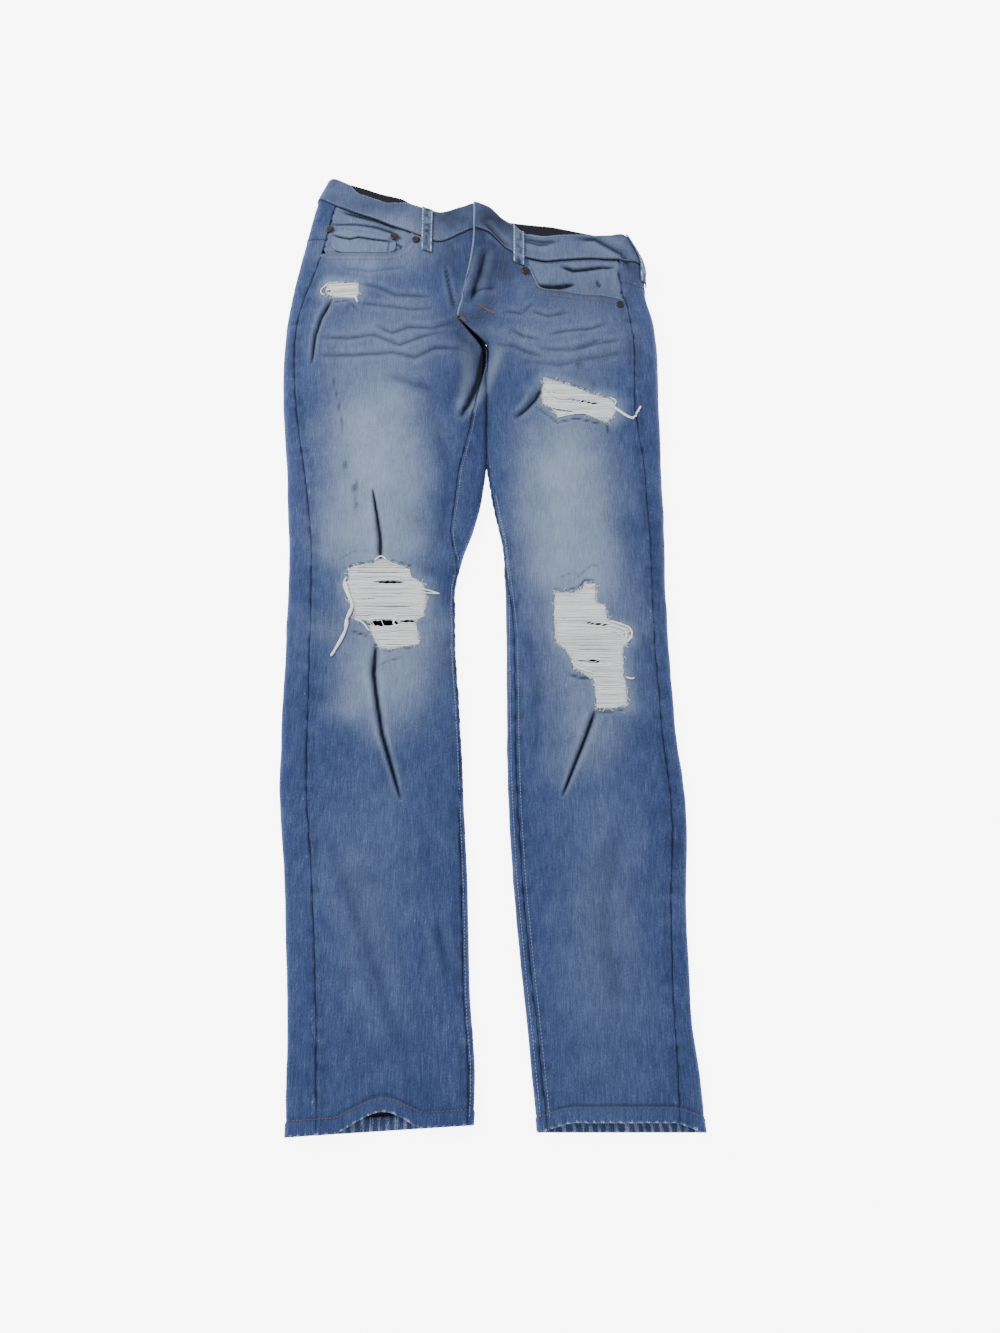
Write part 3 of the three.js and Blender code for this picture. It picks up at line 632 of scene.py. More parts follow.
def metalFinish(name):
    f = Finish(name)
    patina = f.noise(420, 3.0, 0.6)
    f.set(Base_Color=f.mix(patina, (0.006, 0.005, 0.005), (0.040, 0.028, 0.022)), Metallic=0.6,
          Roughness=f.clamp(0.35 + patina * 0.3), Normal=f.bump(patina, 0.3, 0.0004))
    return f.material


finishes = {
    "denim": denimFinish("washedDenim"),
    "trim": denimFinish("trimDenim", 0.03),
    "white": threadFinish("bareWeft", (0.78, 0.79, 0.77), (0.58, 0.60, 0.62)),
    "pale": threadFinish("paleThread", (0.30, 0.36, 0.43), (0.10, 0.13, 0.21)),
    "tan": threadFinish("tanThread", (0.22, 0.15, 0.10), (0.07, 0.06, 0.06)),
    "rivet": metalFinish("darkRivet"),
}
print("finishes ready")


# Mesh makers

def newPiece(name, points, faces, material, attributes=None, smooth=True):  # points in millimetres
    mesh = bpy.data.meshes.new(name)
    mesh.from_pydata((np.asarray(points, float) / 1000).tolist(), [],
                     [tuple(f) for f in np.asarray(faces).tolist()])
    for key, values in (attributes or {}).items():
        layer = mesh.attributes.new(key, "FLOAT", "POINT")
        layer.data.foreach_set("value", np.asarray(values, np.float32).ravel())
    mesh.materials.append(finishes[material])
    piece = bpy.data.objects.new(name, mesh)
    bpy.context.scene.collection.objects.link(piece)
    if smooth:
        mesh.polygons.foreach_set("use_smooth", [True] * len(mesh.polygons))
    mesh.update()
    return piece


def applyModifier(piece, kind, **settings):
    bpy.ops.object.select_all(action="DESELECT")
    bpy.context.view_layer.objects.active = piece
    piece.select_set(True)
    modifier = piece.modifiers.new(kind.title(), kind)
    for key, value in settings.items():
        setattr(modifier, key, value)
    bpy.ops.object.modifier_apply(modifier=modifier.name)
    piece.select_set(False)


def gridFaces(rows, columns):
    i, j = np.meshgrid(np.arange(rows - 1), np.arange(columns - 1), indexing="ij")
    a = i * columns + j
    return np.stack([a, a + 1, a + columns + 1, a + columns], axis=-1).reshape(-1, 4)


def clothPiece(name, grid, attributes, material="denim", cut=(), keep=None, thickness=None):
    rows, columns = grid.shape[:2]
    points = grid.reshape(-1, 3).copy()
    faces = gridFaces(rows, columns)
    middle = points[faces].mean(axis=1)
    kept = np.ones(len(faces), bool)
    for outline in cut:
        kept &= ~inOutline(middle[:, 0], middle[:, 1], outline)
    if keep is not None:
        kept &= inOutline(middle[:, 0], middle[:, 1], keep)
    dropped = np.zeros(len(points), bool)
    dropped[faces[~kept].ravel()] = True
    used = np.zeros(len(points), bool)
    used[faces[kept].ravel()] = True
    rim = np.nonzero(dropped & used)[0]
    for outline in list(cut) + ([keep] if keep is not None else []):
        pullTo(points, rim, outline)
    faces = faces[kept]
    number = np.cumsum(used) - 1
    values = {key: np.broadcast_to(v, grid.shape[:2]).ravel()[used] for key, v in attributes.items()}
    count = int(used.sum())
    values["inside"] = np.zeros(count)
    piece = newPiece(name, points[used], number[faces], material, values)
    applyModifier(piece, "SOLIDIFY", thickness=(thickness or cloth["denim"]) / 1000, offset=-1,
                  use_even_offset=False)
    inside = np.zeros(len(piece.data.vertices), np.float32)
    inside[count:] = 1
    piece.data.attributes["inside"].data.foreach_set("value", inside)
    return piece


def pullTo(points, rim, outline):  # moves the rim of a cut onto its drawn outline
    x, y = points[rim, 0], points[rim, 1]
    best = np.full(len(rim), 1e9)
    target = points[rim, :2].copy()
    for (x0, y0), (x1, y1) in zip(outline, outline[1:] + outline[:1]):
        length = math.hypot(x1 - x0, y1 - y0)
        ux, uy = (x1 - x0) / length, (y1 - y0) / length
        t = np.clip((x - x0) * ux + (y - y0) * uy, 0, length)
        px, py = x0 + t * ux, y0 + t * uy
        d = np.hypot(x - px, y - py)
        closer = d < best
        best = np.where(closer, d, best)
        target[closer] = np.stack([px, py], axis=-1)[closer]
    close = best < 0.9 * cloth["step"]
    points[rim[close], :2] = target[close]


def spacing(span):  # shares across a panel, closer together beside its two seams
    edge = np.array(cloth["edge"], float)
    inner = np.linspace(edge[-1], span - edge[-1],
                        max(2, round((span - 2 * edge[-1]) / cloth["step"])) + 1)
    return np.concatenate([edge[:-1], inner, (span - edge[::-1])[1:]]) / span


def drawnOn(ring, q, side, points):  # gathers the columns on a long sharp crease
    for line in sharpLines[side]:
        line = np.array(sorted(line, key=lambda p: p[1]), float)
        y = points[..., 1].mean(axis=1, keepdims=True)
        for _ in range(2):
            middle = np.interp(y, line[:, 1], line[:, 0])
            k = np.abs(points[..., 0] - middle).argmin(axis=1)
            y = points[np.arange(len(points)), k, 1][:, None]
        first, last = line[0, 1], line[-1, 1]
        strength = ease(y, first - 30, first - 5) * (1 - ease(y, last + 5, last + 30))
        centre = overTop(ring, np.interp(y, line[:, 1], line[:, 0]))
        away = (q - centre) / 16
        pulled = centre + 16 * np.sign(away) * np.abs(away) ** 1.7
        q = np.where(np.abs(away) < 1, q + (pulled - q) * strength, q)
    return q


def panelGrid(side, spanAt, nominal, joinV, topV, hipRows):
    share = spacing(nominal)[None, :]
    legRows = np.linspace(0, 1, 345)
    ring = legRing(side, legRows)
    first, last = spanAt(side, ring)
    q = first + (last - first) * share
    if spanAt is frontSpan:
        q = drawnOn(ring, q, side, ringPoint(ring, q))
    leg = ringPoint(ring, q)
    v = joinV + (topV(share) - joinV) * np.linspace(0, 1, hipRows)[:, None]
    ring = hipRing(v)
    first, last = spanAt(side, ring)
    q = first + (last - first) * share
    if spanAt is frontSpan:
        q = drawnOn(ring, q, side, ringPoint(ring, q))
    lift = lapLift(ring, q, 2.4) if side == "left" and spanAt is frontSpan else 0 * q
    hips, _ = onGrid(hipRing, v, q, lift)
    steps = np.linspace(0, 1, 14)[1:-1, None, None]
    bridge = leg[-1] * (1 - steps) + hips[0] * steps
    whole = np.concatenate([leg, bridge, hips])
    seam = len(legRows) - 1
    for _ in range(14):  # softens the join of leg and hips
        part = whole[seam - 7:seam + 22]
        whole[seam - 6:seam + 21] = (part[:-2] + 2 * part[1:-1] + part[2:]) / 4
    return whole


def rolledHem(grid, radius, turnUp):  # the hem turns round its edge and runs up inside
    normal = gridNormals(grid)[0]
    ahead = grid[3] - grid[0]
    ahead /= np.linalg.norm(ahead, axis=-1, keepdims=True)
    rows = []
    for s in np.linspace(turnUp, 1.5, 5):
        rows.append(grid[0] + ahead * s - normal * 2 * radius)
    for angle in np.radians([180, 144, 108, 72, 36]):
        inward = normal * radius * (1 - math.cos(angle))
        rows.append(grid[0] - ahead * radius * math.sin(angle) - inward)
    return np.concatenate([np.array(rows), grid])


hem = {"radius": 1.3, "turnUp": 11, "deep": 12.5, "proud": 0.9}


def finishPanel(grid):
    normal = gridNormals(grid)
    x, y = grid[..., 0], grid[..., 1]
    facing = ease(normal[..., 2], -0.25, 0.55)
    high, dark, pale = topRelief(x, y)
    lowHigh, lowDark, lowPale = underRelief(x, y)
    high = high * facing + lowHigh * (1 - facing)
    dark = dark * facing + lowDark * (1 - facing)
    pale = pale * facing + lowPale * (1 - facing)
    width = np.linalg.norm(np.diff(grid, axis=1), axis=-1)
    run = np.concatenate([np.zeros((len(grid), 1)), np.cumsum(width, axis=1)], axis=1)
    fromFirst, fromLast = run, run[:, -1:] - run
    wear = np.zeros(x.shape)
    for far, seed in ((fromFirst, 21), (fromLast, 22)):
        rope = np.sin(y / 1.7 + 3.0 * softNoise(x * 0 + seed, y, 19, seed)) * 0.5 + 0.5
        blot = ease(softNoise(x * 0 + 3 * seed, y, 7.5, seed + 5), -0.3, 0.55)
        high -= 0.55 * np.exp(-(far / 1.0) ** 2)
        high += np.exp(-((far - 3.4) / 2.6) ** 2) * (0.55 * rope + 0.5 * blot - 0.15)
        dark = np.maximum(dark, 0.62 * np.exp(-((far - 0.4) / 1.5) ** 2) * blot)
        dark = np.maximum(dark, 0.26 * np.exp(-((far - 5.5) / 3.0) ** 2) * blot)
        rubbed = 0.36 * np.exp(-((far - 3.2) / 2.4) ** 2) * (1 - blot) * (0.5 + 0.5 * rope)
        wear = np.maximum(wear, rubbed)
    fromHem = np.linalg.norm(grid - grid[:1], axis=-1)
    inHem = 1 - ease(fromHem, hem["deep"] - 1.5, hem["deep"])
    rope = 0.5 + 0.5 * np.sin((x + 0.7 * y) / 1.25 + 1.7 * softNoise(x, y * 0, 17, 25))
    high += inHem * (hem["proud"] * 0.6 + 0.35 * rope)
    high -= 0.5 * np.exp(-((fromHem - hem["deep"]) / 1.2) ** 2)
    # painted shadow in the groove along the top of the hem
    dark = np.maximum(dark, 0.5 * np.exp(-((fromHem - hem["deep"] - 0.6) / 1.2) ** 2))
    wear = np.maximum(wear, 0.5 * np.exp(-(fromHem / 2.2) ** 2) * (0.45 + 0.55 * rope))
    wear = np.maximum(wear, 0.2 * inHem * rope)
    for outline in rips.values():
        far = nearOutline(x, y, outline)
        frayed = np.exp(-(far / 1.9) ** 2) * facing
        ragged = 0.5 + 0.5 * softNoise(x, y, 3.2, 31)
        wear = np.maximum(wear, 0.85 * frayed * ragged)
        high += 0.5 * np.exp(-(far / 4) ** 2) * facing * (ragged - 0.3)
        pale = np.maximum(pale, 0.55 * np.exp(-(far / 12) ** 2) * facing)
    laid = grid + normal * high[..., None]
    laid[..., 2] = np.maximum(laid[..., 2], 0.02)
    return laid, dict(fade=pale, dark=np.clip(dark, 0, 1), wear=wear)


def treeOf(grid):
    rows, columns = grid.shape[:2]
    return BVHTree.FromPolygons((grid.reshape(-1, 3) / 1000).tolist(),
                                gridFaces(rows, columns).tolist())


def sewPanel(name, node, grid, cuts=()):
    laid, worn = finishPanel(grid)
    whole = rolledHem(laid, hem["radius"], hem["turnUp"])
    extra = len(whole) - len(laid)
    worn = {key: np.concatenate([np.repeat(v[:1], extra, axis=0), v]) for key, v in worn.items()}
    piece = clothPiece(name, whole, worn, cut=cuts)
    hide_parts(node)
    layers.append(treeOf(laid))
    return piece


def roundedLine(points, step=1.5, closed=False):  # smooth line through a few corners
    points = np.array(points, float)
    for _ in range(3):
        after = np.roll(points, -1, axis=0)
        near, far = points * 0.75 + after * 0.25, points * 0.25 + after * 0.75
        both = np.stack([near, far], axis=1).reshape(-1, points.shape[1])
        points = both if closed else np.concatenate([points[:1], both[1:-3], points[-1:]])
    if closed:
        points = np.concatenate([points, points[:1]])
    return evenly(points, step)


def evenly(points, step):
    run = np.concatenate([[0], np.cumsum(np.linalg.norm(np.diff(points, axis=0), axis=1))])
    places = np.linspace(0, run[-1], max(2, round(run[-1] / step) + 1))
    return np.stack([np.interp(places, run, points[:, k]) for k in range(points.shape[1])], axis=-1)


def closedOutline(points, step=2.0):
    return [tuple(p) for p in roundedLine(points, step, closed=True)[:-1]]


layers = []  # uncut panels, which pieces under and over them follow
fronts, backs = {}, {}
def tornOutline(points):  # straight sides, a little ragged
    line = evenly(np.array(list(points) + [points[0]], float), 1.5)[:-1]
    line += rng.normal(0, 0.35, line.shape)
    return [tuple(p) for p in line]


cutOutlines = {name: tornOutline(points) for name, points in rips.items()}
for side, mouth, holes in (("right", rightMouth, ("hipRight", "kneeRight")),
                           ("left", leftMouth, ("thighLeft", "kneeLeft"))):
    cuts = [closedOutline(mouth)] + [cutOutlines[name] for name in holes]
    grid = panelGrid(side, frontSpan, 178, 1 / 6, lambda share: 1.03 + 0 * share, 78)
    fronts[side] = sewPanel("front" + side.title(), "front_panel_" + side, grid, cuts)
print("fronts sewn")


def yokeSeam(side, share):
    return 0.52 + 0.2 * (share if side == "right" else 1 - share)


for side in ("right", "left"):
    grid = panelGrid(side, backSpan, 250, 0.14, lambda share: yokeSeam(side, share), 36)
    backs[side] = sewPanel("back" + side.title(), "back_panel_" + side, grid)
    share = spacing(250)[None, :]
    v = yokeSeam(side, share) + 0.003 + (1.027 - yokeSeam(side, share)) * np.linspace(0, 1, 34)[:, None]
    ring = hipRing(v)
    first, last = backSpan(side, ring)
    grid, _ = onGrid(hipRing, v, first + (last - first) * share, 0 * (first + share))
    x, y = grid[..., 0], grid[..., 1]
    facing = ease(gridNormals(grid)[..., 2], -0.25, 0.55)
    high, dark, pale = (a * facing + b * (1 - facing) for a,
                        b in zip(topRelief(x, y), underRelief(x, y)))
    far = np.linalg.norm(grid - grid[:1], axis=-1)
    high -= 0.7 * np.exp(-(far / 1.3) ** 2) - 0.5 * np.exp(-((far - 3.5) / 2) ** 2)
    laid = grid + gridNormals(grid) * high[..., None]
    wear = 0.4 * np.exp(-((far - 3) / 2) ** 2) * (0.5 + 0.5 * np.sin(x / 1.3))
    yoke = clothPiece("yoke" + side.title(), laid, dict(fade=pale, dark=dark, wear=wear))
    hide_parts("yoke_" + side)
    layers.append(treeOf(laid))
    backs["yoke" + side] = yoke
print("backs and yokes sewn")


def closedStrip(name, grid, material, attributes, ends=True):  # rows run round the strip's section
    rows, columns = grid.shape[:2]
    i, j = np.meshgrid(np.arange(rows), np.arange(columns - 1), indexing="ij")
    after = (i + 1) % rows
    faces = np.stack([i * columns + j, i * columns + j + 1, after * columns + j + 1,
                      after * columns + j], axis=-1)
    faces = [tuple(f) for f in faces.reshape(-1, 4).tolist()]
    if ends:
        faces.append(tuple(k * columns for k in range(rows)))
        faces.append(tuple(k * columns + columns - 1 for k in reversed(range(rows))))
    points = (grid.reshape(-1, 3) / 1000).tolist()
    mesh = bpy.data.meshes.new(name)
    mesh.from_pydata(points, [], faces)
    for key, values in attributes.items():
        layer = mesh.attributes.new(key, "FLOAT", "POINT")
        layer.data.foreach_set("value",
                               np.broadcast_to(values, (rows, columns)).astype(np.float32).ravel())
    mesh.materials.append(finishes[material])
    mesh.polygons.foreach_set("use_smooth", [True] * len(mesh.polygons))
    mesh.update()
    piece = bpy.data.objects.new(name, mesh)
    bpy.context.scene.collection.objects.link(piece)
    return piece


# Waistband: one closed strip right round, its left end lapped over its right one at the fly
band = {"proud": 1.3, "inner": 1.5, "low": 1.03, "high": 1.97, "lap": 3.6,
        "columns": (80, 14, 64, 64, 14, 84)}


def bandColumns(ring):
    right, left, front, back = hipSeams(ring)
    half = halfRound(ring)
    quarter = ring["fold"] * math.pi / 2
    stops = [front, left, half + quarter, 2 * half + back, 2 * half - quarter, 2 * half + right,
             2 * half + front + cloth["flyLap"]]
    parts = [stops[0]]
    for a, b, count in zip(stops[:-1], stops[1:], band["columns"]):
        parts.append(a + (b - a) * np.linspace(0, 1, count + 1)[1:])
    return np.concatenate(parts, axis=1), half


low, high = band["low"], band["high"]
section = [(v, band["proud"]) for v in np.linspace(low, high, 17)]
section += [(high + 0.02, 0.8), (high + 0.03, 0), (high + 0.02, -1.0)]
section += [(v, -band["inner"]) for v in np.linspace(high, low, 9)]
section += [(low - 0.015, -1.0), (low - 0.022, 0), (low - 0.015, 0.8)]
v = np.array([row[0] for row in section])
out = np.array([row[1] for row in section])[:, None]
ring = hipRing(v)
q, half = bandColumns(ring)
lift = np.where(q < half, lapLift(ring, q, band["lap"]), 0)
bandGrid, normal = onGrid(hipRing, v, np.where(q > half, q - 2 * half, q), out + lift)
x, y = bandGrid[..., 0], bandGrid[..., 1]
outerFace = (np.arange(len(v)) < 17)[:, None]
facing = ease(normal[..., 2], -0.25, 0.55)
relief, dark, pale = topRelief(x, y)
lowRelief, lowDark, lowPale = underRelief(x, y)
run = np.cumsum(np.linalg.norm(np.diff(bandGrid[8], axis=0), axis=1))
run = np.concatenate([[0], run])[None, :]
pucker = 0.5 + 0.5 * np.sin(run / 1.5 + 2.4 * softNoise(run, run * 0, 31, 41))
nearEdge = (np.exp(-((v[:, None] - low) * 40 / 2.6) ** 2)
            + np.exp(-((high - v[:, None]) * 40 / 2.6) ** 2))
rise = relief * facing + lowRelief * (1 - facing)
bandGrid += normal * (np.where(outerFace, rise + 0.35 * nearEdge * pucker, rise * 0.9))[..., None]
bandGrid[..., 2] = np.maximum(bandGrid[..., 2], 0.02)
dark = dark * facing + lowDark * (1 - facing)
# painted shadow line along the band's lower edge
dark = np.maximum(dark, 0.55 * np.exp(-((v[:, None] - low) * 40 / 1.1) ** 2))
topEdge = np.exp(-((np.abs(v[:, None] - high - 0.02)) * 40 / 2.0) ** 2)
# inner face: painted shade, darker where the band's outer face turns up and the inner face looks down
waistband = closedStrip("waistband", bandGrid, "trim", dict(
    fade=np.clip(pale * facing + 0.2, 0, 1) * outerFace, dark=np.where(outerFace, dark, 0.25 * facing),
    wear=np.maximum(0.4 * nearEdge * pucker * outerFace, 0.5 * topEdge * outerFace),
    inside=1.0 * ~outerFace))
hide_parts("waistband")
layers.append(treeOf(bandGrid[:18]))
print("waistband sewn")

# Belt loops: a folded strip with two raised edges
loop = {"width": 13, "thick": 1.8, "edge": 0.45, "rows": 46}
loops = {
    "belt_loop_front_right": (lambda ring: overTop(ring, -53), 0.84, 1.985),
    "belt_loop_front_left": (lambda ring: overTop(ring, 55), 0.86, 1.985),
    "belt_loop_side_left": (lambda ring: halfRound(ring) - 5, 0.8, 1.985),
    "belt_loop_back_right": (lambda ring: -overTop(ring, -105), 0.88, 1.985),
    "belt_loop_centre_back": (lambda ring: -overTop(ring, 0), 0.88, 1.985),
}
loopPieces = []
for node, (centreAt, start, end) in loops.items():
    v = np.linspace(start, end, loop["rows"])
    ring = hipRing(v)
    across = np.array([6.5, 6.1, 5.2, 3.9, 2.2, 0, -2.2, -3.9, -5.2, -6.1, -6.5, -6.1, -3, 0, 3, 6.1])
    height = np.array([1.0, 1.7, 2.1, 1.8, 1.5, 1.45, 1.5, 1.8, 2.1, 1.7, 1.0, 0.3, 0.15, 0.15, 0.15,
                       0.3])
    q = centreAt(ring) + across[None, :]
    seat = cloth["bandProud"] * ease(v, 0.9, 1)[:, None] + cloth["lay"]
    nearBand = 0.5 * np.exp(-((v[:, None] - 1.45) / 0.3) ** 2)
    grid, normal = onGrid(hipRing, v, q, seat + nearBand + height[None, :])
    x, y = grid[..., 0], grid[..., 1]
    facing = ease(normal[..., 2], 0.2, 0.8)
    grid += normal * (topRelief(x, y)[0] * facing)[..., None]
    grid[..., 2] = np.maximum(grid[..., 2], 0.02)
    edges = np.exp(-((np.abs(across) - 5.2) / 1.3) ** 2)[None, :]
    rope = 0.5 + 0.5 * np.sin(v * 58)[:, None]
    middle = np.exp(-(across / 3.4) ** 2)[None, :]
    # the loop's hollow middle gets patchy painted shade
    piece = closedStrip(node.title().replace("_", ""), grid.transpose(1, 0, 2), "trim", dict(
        fade=np.full(q.shape, 0.35).T,
        dark=(0.9 * middle * ease(softNoise(x, y, 4.5, 51), -0.6, 0.5)).T,
        wear=(edges * (0.45 + 0.3 * rope)).T, inside=np.zeros(q.shape).T))
    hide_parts(node)
    loopPieces.append(piece)
print("belt loops sewn")


def dropOn(x, y, under=False):  # finds the cloth over or under plan points
    points, normals = [], []
    start, way = (-0.05, Vector((0, 0, 1))) if under else (0.2, Vector((0, 0, -1)))
    last = (Vector((0, 0, 0)), Vector((0, 0, -1 if under else 1)))
    for px, py in zip(np.ravel(x), np.ravel(y)):
        best = None
        for tree in layers:
            hit, normal, index, far = tree.ray_cast(Vector((px / 1000, py / 1000, start)), way)
            if hit is not None and (best is None or far < best[0]):
                best = (far, hit, normal)
        if best is not None:
            last = (best[1], best[2])
        points.append((px, py, last[0].z * 1000))
        normal = last[1] if last[1].z * way.z < 0 else -last[1]
        normals.append(tuple(normal))
    shape = np.shape(x) + (3,)
    return np.array(points).reshape(shape), np.array(normals).reshape(shape)


def patch(name, node, outline, out, material="denim", step=2.0, dips=(), wearEdge=0.0, thickness=1.0,
          fade=0.4):
    edge = closedOutline(outline)
    xs, ys = [p[0] for p in edge], [p[1] for p in edge]
    gx, gy = np.meshgrid(np.arange(min(xs) - step, max(xs) + 2 * step, step),
                         np.arange(min(ys) - step, max(ys) + 2 * step, step))
    grid, normal = dropOn(gx, gy)
    high = np.full(gx.shape, float(out))
    # painted shade: half the creases' shade, and each dip's darkness along its groove
    dark = topRelief(gx, gy)[1] * 0.5
    for points, width, depth, darkness in dips:
        far, along = nearLine(gx, gy, points)
        if isinstance(width, tuple):
            width = width[0] + (width[1] - width[0]) * along
        taper = np.clip(np.minimum(along, 1 - along) * 6 + 0.2, 0, 1) ** 0.6
        groove = np.exp(-(far / width) ** 2) * taper
        high -= depth * groove
        dark = np.maximum(dark, np.clip(darkness * groove, 0, 1))
    far = nearOutline(gx, gy, edge)
    rope = 0.5 + 0.5 * np.sin((gx + 0.6 * gy) / 1.3)
    wear = wearEdge * np.exp(-((far - 1.6) / 1.6) ** 2) * (0.4 + 0.6 * rope)
    pale = np.maximum(topRelief(gx, gy)[2], fade)
    piece = clothPiece(name, grid + normal * high[..., None], dict(fade=pale, dark=dark, wear=wear),
                       material,
                       keep=edge, thickness=thickness)
    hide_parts(node)
    return piece


# the facing dips' darkness is painted shade in their creases
facings = [
    patch("facingRight", "pocket_facing_right", rightFacing, -1.9,
          dips=[([(-170, 421), (-131, 418), (-95, 417), (-84, 422)], 2.0, 0.6, 0.8),
                ([(-172, 464), (-140, 461), (-116, 455), (-97, 447), (-84, 436)], (1.2, 2.0), 0.9, 1.2),
                ([(-157, 482), (-131, 471), (-106, 460), (-86, 449)], 2.2, 0.8, 1.1),
                ([(-92, 430), (-84, 424), (-82, 418)], 1.6, 0.6, 1.0)]),
    patch("facingLeft", "pocket_facing_left", leftFacing, -1.9,
          dips=[([(70, 356), (78, 363), (97, 364), (118, 369)], (5.2, 2.0), 2.6, 2.0),
                ([(106, 395), (119, 390), (133, 392), (152, 397), (166, 398)], (3.2, 1.8), 1.8, 1.4),
                ([(146, 376), (149, 368)], 1.6, 0.6, 1.0),
                ([(172, 394), (176, 375), (178, 356)], 2.0, 0.8, 0.8)]),
]
# coin pocket dips: painted shadow lines across it and down its right side
coin = patch("coinPocket", "coin_pocket", coinPocket, -0.5, step=1.4, wearEdge=0.4, thickness=0.9,
             fade=0.5,
             dips=[([(-167, 447), (-157, 442), (-145, 438), (-135, 440), (-119, 436), (-94, 431)],
                    1.5, 0.7, 1.3),
                   ([(-100, 416), (-98, 426), (-97, 440)], 0.9, 0.4, 0.7)])
print("pockets sewn")


# Round strands and beads
def strands(name, paths, radii, material, sides=5, flat=1.0):
    points, faces = [], []
    angles = np.linspace(0, 2 * math.pi, sides, endpoint=False)
    for path, radius in zip(paths, radii):
        path = np.asarray(path, float)
        ahead = np.gradient(path, axis=0)
        ahead /= np.maximum(np.linalg.norm(ahead, axis=1, keepdims=True), 1e-9)
        sideways = np.cross(ahead, (0, 0, 1))
        sideways /= np.maximum(np.linalg.norm(sideways, axis=1, keepdims=True), 1e-6)
        up = np.cross(sideways, ahead)
        thin = np.clip(np.minimum(np.arange(len(path)), np.arange(len(path))[::-1]) / 1.0 + 0.35, 0, 1)
        start = len(points)
        for p, s, u, t in zip(path, sideways, up, thin):
            for a in angles:
                points.append(p + (s * math.cos(a) + u * math.sin(a) * flat) * radius * t)
        for k in range(len(path) - 1):
            for j in range(sides):
                a, b = start + k * sides + j, start + k * sides + (j + 1) % sides
                faces.append((a, a + sides, b + sides, b))
        faces.append(tuple(start + j for j in range(sides)))
        faces.append(tuple(start + (len(path) - 1) * sides + j for j in reversed(range(sides))))
    mesh = bpy.data.meshes.new(name)
    mesh.from_pydata((np.array(points) / 1000).tolist(), [], faces)
    mesh.materials.append(finishes[material])
    mesh.polygons.foreach_set("use_smooth", [True] * len(mesh.polygons))
    mesh.update()
    piece = bpy.data.objects.new(name, mesh)
    bpy.context.scene.collection.objects.link(piece)
    return piece


def edgeRoll(name, line, radius, out, material="trim", wear=0.28):  # rounded folded edge along a line
    line = roundedLine(line, 1.6)
    points, normals = dropOn(line[:, 0], line[:, 1])
    points = points + normals * out
    for _ in range(3):
        points[1:-1] = (points[:-2] + 2 * points[1:-1] + points[2:]) / 4
    piece = strands(name, [points], [radius], material, sides=10, flat=0.8)
    count = len(piece.data.vertices)
    ripple = 0.5 + 0.5 * np.sin(np.repeat(np.arange(len(points)), 10) * 1.1)
    for key, value in (("fade", 0.4), ("dark", 0.0), ("inside", 0.0)):
        layer = piece.data.attributes.new(key, "FLOAT", "POINT")
        layer.data.foreach_set("value", np.full(count, value, np.float32))
    layer = piece.data.attributes.new("wear", "FLOAT", "POINT")
    layer.data.foreach_set("value", (wear * (0.5 + 0.5 * ripple)).astype(np.float32))
    return piece


mouthRight = [(-171, 419), (-131, 414), (-92, 413), (-80, 419), (-73, 433), (-69, 446)]
mouthLeft = [(66, 392), (74, 372), (78, 359), (107, 359), (126, 354), (150, 356), (177, 351)]
rolls = [
    edgeRoll("mouthEdgeRight", mouthRight, 1.0, -0.3),
    edgeRoll("mouthEdgeLeft", mouthLeft, 1.0, 0.2),
]
v = np.linspace(0.19, 1.97, 110)
ring = hipRing(v)
proud = 1.9 + 2.4 * ease(v, 0.96, 1.04)[:, None]
edgeLine, _ = onGrid(hipRing, v, frontSpan("left", ring)[0], proud)
edgeLine = edgeLine[:, 0] + np.array([0.4, 0, 0])
flyEdge = strands("flyEdge", [edgeLine], [1.25], "trim", sides=12, flat=0.8)
for key, value in (("fade", 0.62), ("dark", 0.0), ("inside", 0.0), ("wear", 0.2)):
    layer = flyEdge.data.attributes.new(key, "FLOAT", "POINT")
    layer.data.foreach_set("value", np.full(len(flyEdge.data.vertices), value, np.float32))
rolls.append(flyEdge)
print("folded edges sewn")


# Stitches: one small rounded stitch, copied along each row
stitch = {"long": 2.4, "pitch": 3.3, "radius": 0.32, "sides": 5, "rings": 4}


def sewRow(line, under=False, aside=0.0, pitch=None, out=0.25):
    line = evenly(np.array(line, float), pitch or stitch["pitch"])
    ahead = np.gradient(line, axis=0)
    ahead /= np.linalg.norm(ahead, axis=1, keepdims=True)
    moved = line + np.stack([-ahead[:, 1], ahead[:, 0]], axis=-1) * aside
    points, normals = dropOn(moved[:, 0], moved[:, 1], under)
    return points + normals * out, normals


